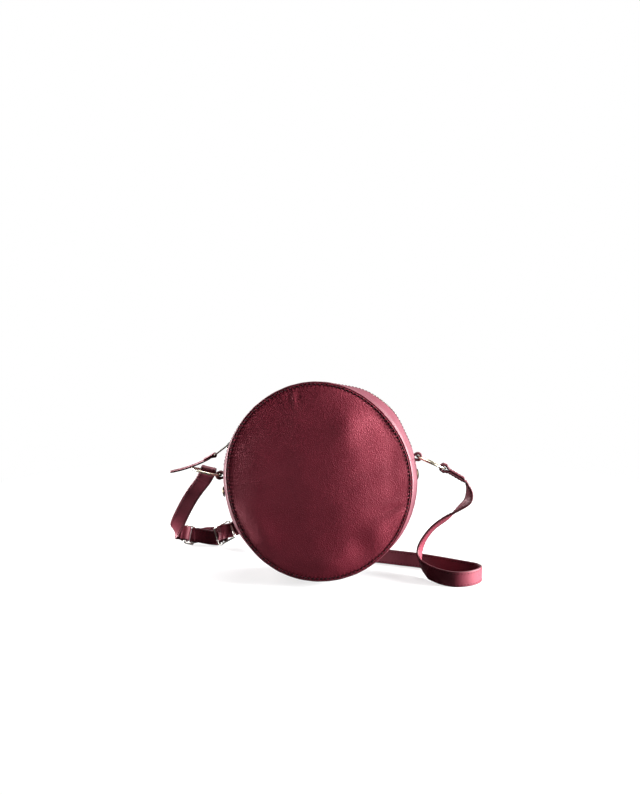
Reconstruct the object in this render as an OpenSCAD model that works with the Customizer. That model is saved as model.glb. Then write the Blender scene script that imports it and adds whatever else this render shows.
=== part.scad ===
/* [Bag] */
// Diameter over the crest of the gusset
bag_d = 198; // [180:1:220]
// How far the crest of the side wall stands out from the panel seams
wall_bulge = 5; // [4:0.5:9]
// Depth of the bag from one panel seam to the other
bag_depth = 70; // [60:1:84]
// How far the middle of a panel stands out from its seam
panel_crown = 9; // [5:0.5:14]
// Thickness of the bag's leather
leather_t = 1.8; // [1.2:0.1:2.4]
// Thickness of the lining cloth
lining_t = 0.6; // [0.4:0.1:1]
// Diameter of the piping in the panel seams
welt_d = 3; // [2.4:0.1:4]
// How far the bag's own weight flattens its bottom
base_sink = 1.5; // [1:0.5:5]
// How far the bag leans back, in degrees
bag_lean = 9; // [4:1:12]
// How far the bag is turned round its own axis, in degrees
bag_roll = 6; // [0:1:10]

/* [Zip] */
// Angle of the zip's right end above the bag's level line, in degrees
zip_start = 15; // [13:1:24]
// Angle of the zip slider at rest, in degrees
slider_at = 154; // [146:1:156]
// Width of the opening between the two leather strips
zip_slot = 9; // [8:0.5:11]
// Distance from one tooth to the next along a row
tooth_pitch = 3; // [2.6:0.1:4]
// Height of a tooth
tooth_h = 2.4; // [2:0.1:3]
// Width of one zip tape
tape_w = 12; // [10:0.5:14]
// Thickness of the zip tape
tape_t = 0.5; // [0.4:0.05:0.7]
// Length of the slider's body
slider_l = 11; // [9:0.5:13]
// Diameter of the wire of the zip puller
bail_wire = 1.5; // [1.2:0.1:2]
// Length of the wire puller
bail_l = 17; // [13:0.5:20]
// Direction of the wire puller as it hangs, in degrees
bail_angle = 218; // [212:1:222]
// Length of the leather pull
pull_l = 49; // [42:1:56]
// Width of the leather pull
pull_w = 7; // [5:0.5:8]
// Thickness of the leather pull
pull_t = 1.3; // [1:0.1:1.6]

/* [Tabs and rings] */
// Angle of the side tabs above the bag's level line, in degrees
tab_angle = 8; // [6:1:10]
// Width of a side tab
tab_w = 12; // [10:0.5:15]
// Thickness of one ply of a side tab
tab_t = 1.8; // [1.4:0.1:2.2]
// Inner diameter of an O-ring
ring_bore = 28; // [26:0.5:30]
// Diameter of the O-ring's wire
ring_wire = 2.4; // [2:0.1:3]
// Direction of the right ring, in degrees above the level
ring_right_angle = -23; // [-30:1:-16]
// Direction of the left ring, in degrees above the level
ring_left_angle = 167; // [164:1:170]
// Distance round the gusset from a tab to its rivet
rivet_drop = 17; // [15:0.5:20]
// Diameter of a rivet's cap
rivet_d = 9.5; // [8:0.5:11]

/* [Strap] */
// Width of the strap
strap_w = 16; // [14:0.5:17]
// Thickness of the strap
strap_t = 2.2; // [1.8:0.1:2.4]
// Length of the doubled and sewn end at a ring
strap_lap = 17; // [14:1:20]
// Gap between the two bars of the rectangular ring
buckle_gap = 8; // [7:0.5:10]
// Diameter of the rectangular ring's wire
buckle_wire = 2.6; // [2.2:0.1:2.8]
// Diameter of the strap slider's bars
glide_wire = 2.2; // [1.8:0.1:2.4]
// Distance from the slider's middle bar to an outer bar
glide_reach = 11; // [10.5:0.5:13]
// Distance from the rectangular ring to the strap slider
glide_at = 42; // [38:1:46]
// How far the strap leans back at the strap slider, in degrees
adjuster_lean = 30; // [20:1:36]
// How far the adjuster is turned on the floor, in degrees
adjuster_turn = 10; // [5:1:14]

/* [Hidden] */
$fn = 72;

// Clearances
seam_gap = 0.1;
fit_gap = 0.3;
end_gap = 0.6;
overrun = 1;

// The bag's section
bag_r = bag_d / 2;
panel_r = bag_r - wall_bulge;
half_depth = bag_depth / 2;
arc_r = (half_depth ^ 2 + wall_bulge ^ 2) / (2 * wall_bulge);
arc_x = bag_r - arc_r;
welt_r = welt_d / 2;
gusset_a = half_depth - welt_r - seam_gap;
rim_r = panel_r - welt_r - seam_gap;
crown_r = (rim_r ^ 2 + panel_crown ^ 2) / (2 * panel_crown);
centre_y = arc_x * sin(bag_lean);
centre_z = arc_x * cos(bag_lean) + arc_r - base_sink;
far = 2 * bag_d;
hollow_r = panel_r - wall_bulge - lining_t;

// Depths below the gusset's outer face
lining_in = leather_t + fit_gap;
tape_in = leather_t + seam_gap;
tooth_in = tape_in + tape_t / 2 - tooth_h / 2;
tail_in = lining_in + lining_t + fit_gap + wall_bulge * (tab_w / bag_depth) ^ 2;
deg_per_mm = 180 / (PI * bag_r);

// The zip chain
zip_end = 180 - zip_start;
tooth_reach = zip_slot / 3;
tooth_bite = tooth_reach / 3;
tooth_t = tooth_pitch * 0.43;
jaw_a = tooth_reach * 0.62;
chain_r = bag_r - tooth_in - tooth_h / 2;
tooth_step = 180 * tooth_pitch / (PI * chain_r);
slider_half = slider_l / 2 * deg_per_mm;
chain_end = slider_at - tooth_step / 2;
tooth_count = floor((chain_end - zip_start - tooth_step) / tooth_step);
plate_t = 1.1;
plate_in = tooth_in - fit_gap;
slider_a = zip_slot / 2 - fit_gap;
crown_hole = bail_wire / 2 + fit_gap;
crown_out = crown_hole + plate_t * 0.8;
pin_r = bag_r - plate_in + plate_t + crown_hole;
crown_w = slider_a * 0.6;
bail_half = slider_a * 0.8;

// Places of the zip puller and the leather pull, in the bag's own plane
function polar(r, a) = [r * cos(a), 0, r * sin(a)];
pin_at = polar(pin_r, slider_at + bag_roll);
bar_at = pin_at + bail_l * polar(1, bail_angle);
pull_eye = bail_wire / 2 + fit_gap;
pull_fold = pull_l / 4;

// The rings and what goes round them
ring_mid = (ring_bore + ring_wire) / 2;
function chord_sag(w) = ring_mid - sqrt(ring_mid ^ 2 - w ^ 2 / 4);
tab_sag = chord_sag(tab_w);
strap_sag = chord_sag(strap_w);
tab_eye = ring_wire / 2 + tab_sag / 2 + ring_wire * 0.45;
strap_eye = ring_wire / 2 + strap_sag / 2 + fit_gap * 2;
tab_out = tab_eye * 1.1;
tab_meet = tab_eye * 1.5;
eye_r = bag_r + tab_out;
left_eye = polar(eye_r, 180 - tab_angle + bag_roll);
right_eye = polar(eye_r, tab_angle + bag_roll);
ring_centre_out = ring_mid - tab_sag / 2;
left_ring_at = left_eye + polar(ring_centre_out, ring_left_angle);
right_ring_at = right_eye + polar(ring_centre_out, ring_right_angle);
strap_eye_out = ring_mid - strap_sag / 2;
right_strap_eye = right_ring_at + polar(strap_eye_out, ring_right_angle);
left_strap_eye = left_ring_at + [0, strap_eye_out, 0];
right_tail_angle = ring_right_angle - 7;
left_tail_tilt = 52;
rivet_angle = rivet_drop * deg_per_mm;
rivet_post = rivet_d * 0.3;
rivet_dome = rivet_d * 0.2;
tail_angle = (rivet_drop + rivet_d * 0.8) * deg_per_mm;

// The pull lies on the left ring's far side
ring_far = left_ring_at + polar(ring_mid, ring_left_angle) - bar_at;
ring_far_l = norm(ring_far);
pull_curve = pull_l * 2.75;
pull_dip = (pull_l - ring_far_l) * ring_far_l / (2 * pull_curve);
pull_seat = ring_wire / 2 + pull_t / 2 + fit_gap + pull_dip;
pull_angle = atan2(ring_far.z, ring_far.x) - asin(pull_seat / ring_far_l);

// The adjuster lies behind the bag on the left
adjuster_shares = [-1.515, 0.576];
buckle_r = buckle_wire / 2;
glide_r = glide_wire / 2;
buckle_reach = buckle_gap / 2 + buckle_r;
buckle_side = strap_w / 2 + fit_gap * 2 + buckle_r;
glide_side = strap_w / 2 + fit_gap * 2 + glide_r;
adjuster_at = [
    adjuster_shares.x * bag_r,
    adjuster_shares.y * bag_r + half_depth,
    buckle_side * cos(adjuster_lean) + buckle_r
];
adjuster_x = [cos(adjuster_turn), -sin(adjuster_turn), 0];
adjuster_z = [
    sin(adjuster_turn) * sin(adjuster_lean), cos(adjuster_turn) * sin(adjuster_lean), cos(adjuster_lean)
];
adjuster_y = cross(adjuster_z, adjuster_x);
buckle_eye = buckle_r + fit_gap;
glide_eye = glide_r + fit_gap;
fold_r = buckle_eye + strap_t / 2;
hook_r = glide_eye + strap_t / 2;
behind_bar = glide_r + fit_gap + strap_t / 2;
before_hook = hook_r + strap_t + fit_gap * 2;
lap_y = behind_bar + strap_t + fit_gap * 1.5;
run_start = glide_at + glide_reach + glide_wire * 3;

function in_world(p) = [
    p.x,
    centre_y + p.y * cos(bag_lean) + p.z * sin(bag_lean),
    centre_z - p.y * sin(bag_lean) + p.z * cos(bag_lean)
];
function world_way(v) = [
    v.x, v.y * cos(bag_lean) + v.z * sin(bag_lean), v.z * cos(bag_lean) - v.y * sin(bag_lean)
];
function adjuster_point(x, y) = adjuster_at + x * adjuster_x + y * adjuster_y;
function unit(v) = v / norm(v);

// The long strap's way from the right ring to the floor: across, back, up as shares of the bag's radius,
// then how much of the bag's half depth is added to the way back
drop_shares = [
    [1.533, -0.03, 0.808, 0], [1.517, -0.04, 0.707, 0], [1.426, -0.04, 0.622, 0],
    [1.298, -0.03, 0.517, 0], [1.16, -0.02, 0.401, 0], [1.063, -0.081, 0.258, 0.2],
    [1.028, -0.217, 0.136, 0.5], [1.051, -0.404, 0.045, 0.8], [1.126, -0.611, 0.006, 1]
];
drop_width_shares = [
    [0.30, -0.95, 0], [0.35, -0.93, 0], [0, -1, 0], [-0.30, -0.89, 0.34],
    [-0.33, -0.90, 0.28], [-0.37, -0.90, 0.20], [-0.30, -0.85, 0.45], [-0.15, -0.60, 0.80],
    [0, -0.10, 1]
];
// The long strap's way over the floor, round the front and to and fro behind the bag: across and back
floor_shares = [
    [1.237, -0.732], [1.364, -0.808], [1.495, -0.788], [1.601, -0.707], [1.652, -0.596],
    [1.611, -0.505], [1.505, -0.439], [1.303, -0.323], [1.03, -0.182], [0.859, -0.121], [0.616, -0.035],
    [0.354, 0.03], [0.051, 0.081], [-0.253, 0.121], [-0.485, 0.182], [-0.626, 0.313], [-0.586, 0.495],
    [-0.404, 0.606], [-0.101, 0.626], [0.202, 0.606], [0.455, 0.626], [0.626, 0.747], [0.606, 0.929],
    [0.424, 1.04], [0.101, 1.071], [-0.253, 1.081], [-0.556, 1.061], [-0.747, 0.97], [-0.818, 0.818],
    [-0.818, 0.677]
];
// The short strap's way from the left ring down and back to the rectangular ring
short_shares = [
    [-1.338, 0.121, 0.697, 0.5], [-1.414, 0.172, 0.581, 0.6], [-1.515, 0.273, 0.404, 0.8],
    [-1.606, 0.394, 0.222, 0.9], [-1.667, 0.535, 0.096, 1]
];
short_width_shares = [
    [-0.93, -0.10, 0.34], [-0.92, -0.16, 0.36], [-0.89, -0.18, 0.42], [-0.76, -0.06, 0.64],
    [-0.45, 0.20, 0.87]
];
run_steps = 3;
drop_steps = 4;

function share_point(s) = [s[0] * bag_r, s[1] * bag_r + s[3] * half_depth, s[2] * bag_r + strap_w / 2];
function floor_point(s) = [s[0] * bag_r, s[1] * bag_r + half_depth, strap_w / 2];

// Points between the second and third of four points on a smooth curve
function between(a, b, c, d, t) =
    ((2 * b) + (c - a) * t + (2 * a - 5 * b + 4 * c - d) * t ^ 2 + (3 * b - a - 3 * c + d) * t ^ 3) / 2;
function smooth(p, steps) = [
    for (i = [1 : len(p) - 3]) for (k = [0 : i < len(p) - 3 ? steps - 1 : steps])
        between(p[i - 1], p[i], p[i + 1], p[i + 2], k / steps)
];
// A list with one more point before it and one after it, so that the curve starts and ends straight
function led(p) = concat([2 * p[0] - p[1]], p, [2 * p[len(p) - 1] - p[len(p) - 2]]);

// Right end of the long strap's sewn lap, and where the adjuster's straight part starts
lap_way = polar(1, right_tail_angle);
lap_down = polar(1, right_tail_angle - 90);
drop_start = in_world(right_strap_eye + lap_way * (strap_eye * 2 + strap_lap) + lap_down * strap_t / 2);
drop_route = concat(
    [drop_start, drop_start + world_way(lap_way) * strap_t * 2], [for (s = drop_shares) share_point(s)]
);
drop_width = concat([world_way([0, -1, 0]), world_way([0, -1, 0])], drop_width_shares);
run_route = concat(
    [share_point(drop_shares[len(drop_shares) - 1])], [for (s = floor_shares) floor_point(s)],
    [adjuster_point(run_start + glide_reach, behind_bar), adjuster_point(run_start, behind_bar)]
);
run_width = concat(
    [drop_width_shares[len(drop_width_shares) - 1]], [for (s = floor_shares) [0, 0, 1]],
    [adjuster_z, adjuster_z]
);
// The short strap leaves its left fold downwards and meets the rectangular ring's left bar
short_way = [0, cos(left_tail_tilt), 0] + polar(sin(left_tail_tilt), ring_left_angle + 90);
short_across = polar(1, ring_left_angle);
short_in = cross(short_way, short_across);
short_lap = strap_lap * 0.5;
short_start = in_world(left_strap_eye + short_way * (strap_eye * 2 + short_lap));
buckle_lap = strap_t;
short_end = adjuster_point(-buckle_reach - buckle_eye * 2 - buckle_lap, 0);
short_route = concat(
    [short_start, short_start + world_way(short_way) * strap_t * 2], [for (s = short_shares) share_point(s)],
    [short_end - adjuster_x * strap_t, short_end]
);
short_width = concat(
    [world_way(short_across), world_way(short_across)], short_width_shares, [adjuster_z, adjuster_z]
);

module in_bag() {
    translate([0, centre_y, centre_z]) rotate([-bag_lean, 0, 0]) children();
}

// Turns a section round the bag's axis: across is the radius, up is towards the front
module around(from, to) {
    rotate([90, 0, 0]) rotate_extrude(angle = to - from, start = from + bag_roll) children();
}

// A frame on the gusset: X points outwards, Y along the bag's axis to the back, Z round the bag
module at_angle(angle, radius) {
    rotate([0, -angle - bag_roll, 0]) translate([radius, 0, 0]) children();
}

// A frame in the bag's middle plane, turned so that X points along the angle
module in_plane(place, angle) {
    translate(place) rotate([0, -angle, 0]) children();
}

module above(h) {
    translate([-far, -far, h]) cube([2 * far, 2 * far, 2 * far]);
}

module gusset_fill(depth, a_from, a_to, r_from) {
    intersection() {
        translate([arc_x, 0]) circle(r = arc_r - depth);
        translate([r_from, a_from]) square([bag_d, a_to - a_from]);
    }
}

module gusset_band(depth, thick, a_from, a_to) {
    difference() {
        gusset_fill(depth, a_from, a_to, hollow_r);
        gusset_fill(depth + thick, a_from - overrun, a_to + overrun, hollow_r - overrun);
    }
}

// A gusset skin that stands on the floor, or on the skin below it
module standing_skin(depth, thick, side) {
    from = 180 - tab_angle;
    to = 360 + tab_angle;
    difference() {
        intersection() {
            in_bag() around(from, to) gusset_fill(depth, -side, side, hollow_r);
            above(depth);
        }
        intersection() {
            in_bag() around(from - overrun, to + overrun)
                gusset_fill(depth + thick, -side - overrun, side + overrun, hollow_r - overrun);
            above(depth + thick);
        }
    }
}

// The space that a tab's eye and its two plies take where they pass through the seam
module tab_slots() {
    in_bag() for (angle = [tab_angle, 180 - tab_angle])
        at_angle(angle, eye_r) rotate([90, 0, 180])
            fold_body(tab_w + fit_gap * 2, tab_eye, tab_t + fit_gap, tab_meet, tab_out + wall_bulge * 1.5);
}

module rivet_holes() {
    in_bag() for (angle = [tab_angle - rivet_angle, 180 - tab_angle + rivet_angle])
        at_angle(angle, bag_r) rotate([0, 90, 0])
            cylinder(r = rivet_post / 2 + seam_gap, h = wall_bulge * 3, center = true);
}

// A crowned round sheet, with its rim at half the bag's depth
module panel_sheet(depth, thick, r) {
    rotate([90, 0, 0]) rotate_extrude() intersection() {
        difference() {
            translate([0, half_depth + panel_crown - crown_r]) circle(r = crown_r - depth, $fn = 256);
            translate([0, half_depth + panel_crown - crown_r]) circle(r = crown_r - depth - thick, $fn = 256);
        }
        translate([0, half_depth - leather_t - depth - thick]) square([r, bag_depth]);
    }
}

module front_panel() {
    color("#7c3039") in_bag() panel_sheet(0, leather_t, rim_r);
}

module back_panel() {
    color("#7c3039") intersection() {
        in_bag() mirror([0, 1, 0]) panel_sheet(0, leather_t, rim_r);
        above(0);
    }
}

module bottom_gusset() {
    color("#82343d") difference() {
        standing_skin(0, leather_t, gusset_a);
        tab_slots();
        rivet_holes();
    }
}

// The zip strip of one side, with its edge turned to the slot
module zip_strip() {
    seam = seam_gap * deg_per_mm;
    difference() {
        in_bag() around(tab_angle + seam, 180 - tab_angle - seam)
            gusset_band(0, leather_t, zip_slot / 2, gusset_a);
        tab_slots();
    }
}

module other_side() {
    translate([0, centre_y, centre_z]) rotate([-bag_lean, 0, 0]) mirror([0, 1, 0]) rotate([bag_lean, 0, 0])
        translate([0, -centre_y, -centre_z]) children();
}

module zip_gusset_front() {
    color("#8f3f49") zip_strip();
}

module zip_gusset_back() {
    color("#8f3f49") other_side() zip_strip();
}

// A leather piece that closes the slot between the zip's end and a side seam
module zip_end_patch(from, to) {
    color("#82343d") difference() {
        in_bag() around(from, to)
            gusset_band(0, leather_t, -zip_slot / 2 + seam_gap, zip_slot / 2 - seam_gap);
        tab_slots();
    }
}

module zip_end_right() {
    zip_end_patch(tab_angle + seam_gap * deg_per_mm, zip_start);
}

module zip_end_left() {
    zip_end_patch(zip_end, 180 - tab_angle - seam_gap * deg_per_mm);
}

module welt() {
    rotate([90, 0, 0]) rotate_extrude() translate([panel_r, half_depth]) circle(r = welt_r, $fn = 32);
}

module front_welt() {
    color("#8f3f49") in_bag() welt();
}

module back_welt() {
    color("#8f3f49") intersection() {
        in_bag() mirror([0, 1, 0]) welt();
        above(0);
    }
}

module lining_front() {
    color("#3b2a2c") in_bag() panel_sheet(leather_t + fit_gap, lining_t, rim_r - fit_gap);
}

module lining_back() {
    color("#3b2a2c") intersection() {
        in_bag() mirror([0, 1, 0]) panel_sheet(leather_t + fit_gap, lining_t, rim_r - fit_gap);
        above(leather_t + fit_gap);
    }
}

module lining_gusset() {
    color("#3b2a2c") difference() {
        standing_skin(lining_in, lining_t, gusset_a - leather_t);
        tab_slots();
        rivet_holes();
    }
}

// The lining of the two zip strips ends short of the zip tapes
module lining_top() {
    seam = seam_gap * deg_per_mm;
    color("#3b2a2c") difference() {
        in_bag() around(tab_angle + seam, 180 - tab_angle - seam)
            union() {
                gusset_band(lining_in, lining_t, tape_w + fit_gap + zip_slot / 4, gusset_a - leather_t);
                mirror([0, 1])
                    gusset_band(lining_in, lining_t, tape_w + fit_gap + zip_slot / 4, gusset_a - leather_t);
            }
        tab_slots();
    }
}

module zip_tape() {
    in_bag() around(zip_start - slider_half / 2, zip_end + slider_half / 2)
        gusset_band(tape_in, tape_t, jaw_a + seam_gap, jaw_a + tape_w);
}

module zip_tape_front() {
    color("#4a4140") zip_tape();
}

module zip_tape_back() {
    color("#4a4140") other_side() zip_tape();
}

// One tooth seen from outside: jaws clasp the tape, then a neck and a head that locks with the other row
module tooth() {
    head = tooth_t / 2;
    neck = head * 0.7;
    jaw = head * 1.35;
    step = tooth_reach - jaw_a;
    difference() {
        rotate([0, 90, 0]) translate([0, 0, -tooth_h / 2]) linear_extrude(tooth_h) union() {
            polygon([
                [-jaw, -tooth_reach], [jaw, -tooth_reach], [jaw, -jaw_a], [neck, -jaw_a + step / 2],
                [neck, 0], [head, tooth_bite / 2], [head, tooth_bite], [-head, tooth_bite],
                [-head, tooth_bite / 2], [-neck, 0], [-neck, -jaw_a + step / 2], [-jaw, -jaw_a]
            ]);
        }
        translate([-tape_t / 2 - seam_gap, -tooth_reach - overrun, -tooth_pitch / 2])
            cube([tape_t + seam_gap * 2, tooth_reach + overrun - jaw_a, tooth_pitch]);
    }
}

module teeth(offset_share) {
    for (i = [0 : tooth_count - 1])
        at_angle(zip_start + (i + 1 + offset_share) * tooth_step, chain_r) tooth();
}

module zip_teeth_front() {
    color("#6b6a5c") in_bag() teeth(0);
}

module zip_teeth_back() {
    color("#6b6a5c") in_bag() mirror([0, 1, 0]) teeth(1 / 2);
}

// Two small top stops on the tapes' edges and the box at the other end
module zip_stops() {
    stop_l = tooth_pitch * 0.8;
    color("#6b6a5c") in_bag() {
        for (side = [-1, 1]) at_angle(zip_end - stop_l * deg_per_mm, chain_r) difference() {
            translate([0, side * jaw_a, 0]) cube([tooth_h, tooth_bite, stop_l], center = true);
            translate([0, side * (jaw_a + tooth_reach / 2), 0])
                cube([tape_t + seam_gap * 2, tooth_reach, stop_l + overrun], center = true);
        }
        at_angle(zip_start + tooth_step * 0.375, chain_r) difference() {
            cube([tooth_h, tooth_reach * 2, tooth_pitch * 0.45], center = true);
            for (side = [-1, 1]) translate([0, side * (jaw_a + tooth_reach / 2), 0])
                cube([tape_t + seam_gap * 2, tooth_reach, tooth_pitch], center = true);
        }
    }
}

// Upper plate with side flanges and a crown for the puller, and the lower plate inside the bag
module zip_slider() {
    top_r = bag_r - plate_in;
    flange_t = plate_t * 0.6;
    under_r = bag_r - tooth_in - tooth_h - fit_gap;
    tape_top = bag_r - tape_in + seam_gap;
    color("#45433f") in_bag() {
        around(slider_at - slider_half, slider_at + slider_half) {
            translate([top_r, -slider_a]) square([plate_t, slider_a * 2]);
            for (side = [-1, 1]) translate([tape_top, side * (slider_a - flange_t / 2) - flange_t / 2])
                square([top_r - tape_top + plate_t / 2, flange_t]);
        }
        around(slider_at - slider_half, slider_at + slider_half)
            translate([under_r - plate_t, -slider_a]) square([plate_t, slider_a * 2]);
        in_plane(pin_at, slider_at + bag_roll) rotate([90, 0, 0]) linear_extrude(crown_w, center = true)
            difference() {
                union() {
                    circle(r = crown_out);
                    translate([-crown_hole - plate_t / 2, -crown_out]) square([crown_hole, crown_out * 2]);
                }
                circle(r = crown_hole);
            }
    }
}

// A wire between two points, round at both ends
module wire(a, b, r) {
    way = b - a;
    translate(a) rotate([0, acos(way.z / norm(way)), atan2(way.y, way.x)]) cylinder(r = r, h = norm(way));
}

// A closed wire frame through a list of corners
module wire_frame(corners, r) {
    for (i = [0 : len(corners) - 1]) {
        translate(corners[i]) sphere(r = r);
        wire(corners[i], corners[(i + 1) % len(corners)], r);
    }
}

module zip_puller() {
    color("#45433f") in_bag() in_plane(pin_at, bail_angle) wire_frame(
        [[0, -bail_half, 0], [bail_l, -bail_half, 0], [bail_l, bail_half, 0], [0, bail_half, 0]], bail_wire / 2
    );
}

// The leather pull, a strip folded round the puller's bar and curved a little
module pull_tab() {
    width = min(pull_w, bail_half * 2 - bail_wire - fit_gap * 2);
    centre = [pull_l / 2, sqrt(pull_curve ^ 2 - pull_l ^ 2 / 4)];
    color("#7c3039") in_bag() in_plane(bar_at, pull_angle) {
        rotate([90, 0, 0]) linear_extrude(width, center = true) difference() {
            union() {
                circle(r = pull_eye + pull_t);
                intersection() {
                    difference() {
                        translate([centre.x, -centre.y]) circle(r = pull_curve + pull_t / 2, $fn = 256);
                        translate([centre.x, -centre.y]) circle(r = pull_curve - pull_t / 2, $fn = 256);
                    }
                    translate([0, -pull_l / 2]) square([pull_fold, pull_l]);
                }
                intersection() {
                    difference() {
                        translate([centre.x, -centre.y]) circle(r = pull_curve - pull_t / 2, $fn = 256);
                        translate([centre.x, -centre.y]) circle(r = pull_curve - pull_t * 1.5, $fn = 256);
                    }
                    translate([0, -pull_l / 2]) square([pull_fold, pull_l]);
                }
            }
            circle(r = pull_eye);
        }
        rotate([90, 0, 0]) linear_extrude(pull_w, center = true) intersection() {
            difference() {
                translate([centre.x, -centre.y]) circle(r = pull_curve + pull_t / 2, $fn = 256);
                translate([centre.x, -centre.y]) circle(r = pull_curve - pull_t / 2, $fn = 256);
            }
            translate([pull_fold / 2, -pull_l / 2]) square([pull_l - pull_fold / 2, pull_l]);
        }
    }
}

// The outside of a strip folded round an eye: its two plies run together at meet and end at the length
module fold_body(width, eye, t, meet, length) {
    lean = acos(eye / meet);
    tuck = eye + t * 0.8;
    linear_extrude(width, center = true) circle(r = eye + t);
    linear_extrude(width, center = true) polygon([
        tuck * [cos(lean), sin(lean)], [meet + t, t], [length, t],
        [length, -t], [meet + t, -t], tuck * [cos(lean), -sin(lean)]
    ]);
}

module fold(width, eye, t, meet, length) {
    lean = acos(eye / meet);
    difference() {
        fold_body(width, eye, t, meet, length);
        linear_extrude(width + overrun, center = true) circle(r = eye);
        linear_extrude(width + overrun, center = true)
            polygon([eye * [cos(lean), sin(lean)], [meet, 0], eye * [cos(lean), -sin(lean)]]);
    }
}

// A side tab: an eye for the ring, two plies through the seam, and a tail inside that the rivet holds
module side_tab(angle, side) {
    tail_r = bag_r - tail_in;
    end_r = tail_r - tab_t * 2;
    start = side > 0 ? angle - tail_angle : angle;
    hole_angle = angle - side * rivet_angle;
    color("#7c3039") in_bag() difference() {
        union() {
            at_angle(angle, eye_r) rotate([90, 0, 180])
                fold(tab_w, tab_eye, tab_t, tab_meet, eye_r - end_r - tab_t);
            around(start, start + tail_angle) translate([end_r, -tab_w / 2]) square([tab_t * 2, tab_w]);
        }
        at_angle(hole_angle, bag_r) rotate([0, 90, 0])
            cylinder(r = rivet_post / 2 + seam_gap, h = wall_bulge * 4, center = true);
    }
}

module tab_left() {
    side_tab(180 - tab_angle, -1);
}

module tab_right() {
    side_tab(tab_angle, 1);
}

module o_ring(place, angle) {
    color("#cfc7b4") in_bag() in_plane(place, angle) rotate_extrude()
        translate([ring_mid, 0]) circle(r = ring_wire / 2, $fn = 32);
}

module ring_left() {
    o_ring(left_ring_at, ring_left_angle);
}

module ring_right() {
    o_ring(right_ring_at, ring_right_angle);
}

module at_rivets() {
    in_bag() for (angle = [tab_angle - rivet_angle, 180 - tab_angle + rivet_angle])
        at_angle(angle, bag_r) rotate([0, 90, 0]) children();
}

// Domed caps outside, each with the post that goes through the leather
module rivet_caps() {
    dome_r = (rivet_dome ^ 2 + (rivet_d / 2) ^ 2) / (2 * rivet_dome);
    inside = tail_in + tab_t * 2 + fit_gap * 2;
    color("#b9a06a") at_rivets() {
        intersection() {
            translate([0, 0, rivet_dome - dome_r + seam_gap]) sphere(r = dome_r, $fn = 128);
            translate([0, 0, seam_gap]) cylinder(r = rivet_d / 2, h = rivet_dome * 2);
        }
        translate([0, 0, -inside]) cylinder(r = rivet_post / 2, h = inside + rivet_dome / 2);
    }
}

// Flat caps inside, each with a bore that the post fills
module rivet_backs() {
    inside = tail_in + tab_t * 2 + fit_gap * 2;
    cap_t = rivet_dome * 0.6;
    color("#b9a06a") at_rivets() translate([0, 0, -inside - cap_t]) cylinder(r = rivet_d * 0.42, h = cap_t);
}

// A flat strap along a smooth way, with the direction of its width at each point
module ribbon(route, widths, steps) {
    q = smooth(led(route), steps);
    w = smooth(led(widths), steps);
    n = len(q);
    p = [
        for (i = [0 : n - 1])
            i == 0 ? q[0] + end_gap * unit(q[1] - q[0])
                : i == n - 1 ? q[i] - end_gap * unit(q[i] - q[i - 1]) : q[i]
    ];
    way = [for (i = [0 : n - 1]) unit(p[min(i + 1, n - 1)] - p[max(i - 1, 0)])];
    across = [for (i = [0 : n - 1]) unit(w[i] - (w[i] * way[i]) * way[i])];
    out = [for (i = [0 : n - 1]) cross(way[i], across[i])];
    corners = [[1, 1], [-1, 1], [-1, -1], [1, -1]];
    points = [
        for (i = [0 : n - 1]) for (c = corners)
            p[i] + across[i] * c.x * strap_w / 2 + out[i] * c.y * strap_t / 2
    ];
    sides = [
        for (i = [0 : n - 2]) for (k = [0 : 3]) for (half = [0, 1])
            half == 0 ? [4 * i + k, 4 * i + 4 + k, 4 * i + (k + 1) % 4]
                : [4 * i + (k + 1) % 4, 4 * i + 4 + k, 4 * i + 4 + (k + 1) % 4]
    ];
    last = 4 * (n - 1);
    ends = [[0, 1, 2], [0, 2, 3], [last, last + 2, last + 1], [last, last + 3, last + 2]];
    polyhedron(points = points, faces = concat(sides, ends));
}

module strap_long_ring_end() {
    color("#843842") in_bag() in_plane(right_strap_eye, right_tail_angle)
        rotate([90, 0, 0]) fold(strap_w, strap_eye, strap_t, strap_eye * 1.5, strap_eye * 2 + strap_lap);
}

module strap_long_drop() {
    color("#843842") ribbon(drop_route, drop_width, drop_steps);
}

module strap_long_run() {
    color("#843842") ribbon(run_route, run_width, run_steps);
}

// The fold over the left ring's rear side, with its tail pointing down and back
module strap_short_ring_end() {
    color("#843842") in_bag() multmatrix([
        [short_way.x, short_in.x, short_across.x, left_strap_eye.x],
        [short_way.y, short_in.y, short_across.y, left_strap_eye.y],
        [short_way.z, short_in.z, short_across.z, left_strap_eye.z]
    ]) fold(strap_w, strap_eye, strap_t, strap_eye * 1.5, strap_eye * 2 + short_lap);
}

module strap_short_run() {
    color("#843842") ribbon(short_route, short_width, drop_steps);
}

// The adjuster's frame: X along the strap to the right, Y to the back, Z along the bars
module in_adjuster() {
    multmatrix([
        [adjuster_x.x, adjuster_y.x, adjuster_z.x, adjuster_at.x],
        [adjuster_x.y, adjuster_y.y, adjuster_z.y, adjuster_at.y],
        [adjuster_x.z, adjuster_y.z, adjuster_z.z, adjuster_at.z]
    ]) children();
}

module strap_short_buckle_end() {
    length = buckle_eye * 2 + buckle_lap;
    color("#843842") in_adjuster() translate([-buckle_reach, 0, 0]) rotate([0, 0, 180])
        fold(strap_w, buckle_eye, strap_t, buckle_eye * 1.5, length);
}

module strap_buckle() {
    color("#b9b3a2") in_adjuster() wire_frame([
        [-buckle_reach, 0, -buckle_side], [buckle_reach, 0, -buckle_side],
        [buckle_reach, 0, buckle_side], [-buckle_reach, 0, buckle_side]
    ], buckle_r);
}

module strap_slider() {
    color("#cfcdc6") in_adjuster() translate([glide_at, 0, 0]) {
        wire_frame([
            [-glide_reach, 0, -glide_side], [glide_reach, 0, -glide_side],
            [glide_reach, 0, glide_side], [-glide_reach, 0, glide_side]
        ], glide_r);
        wire([0, 0, -glide_side], [0, 0, glide_side], glide_r);
    }
}

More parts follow.
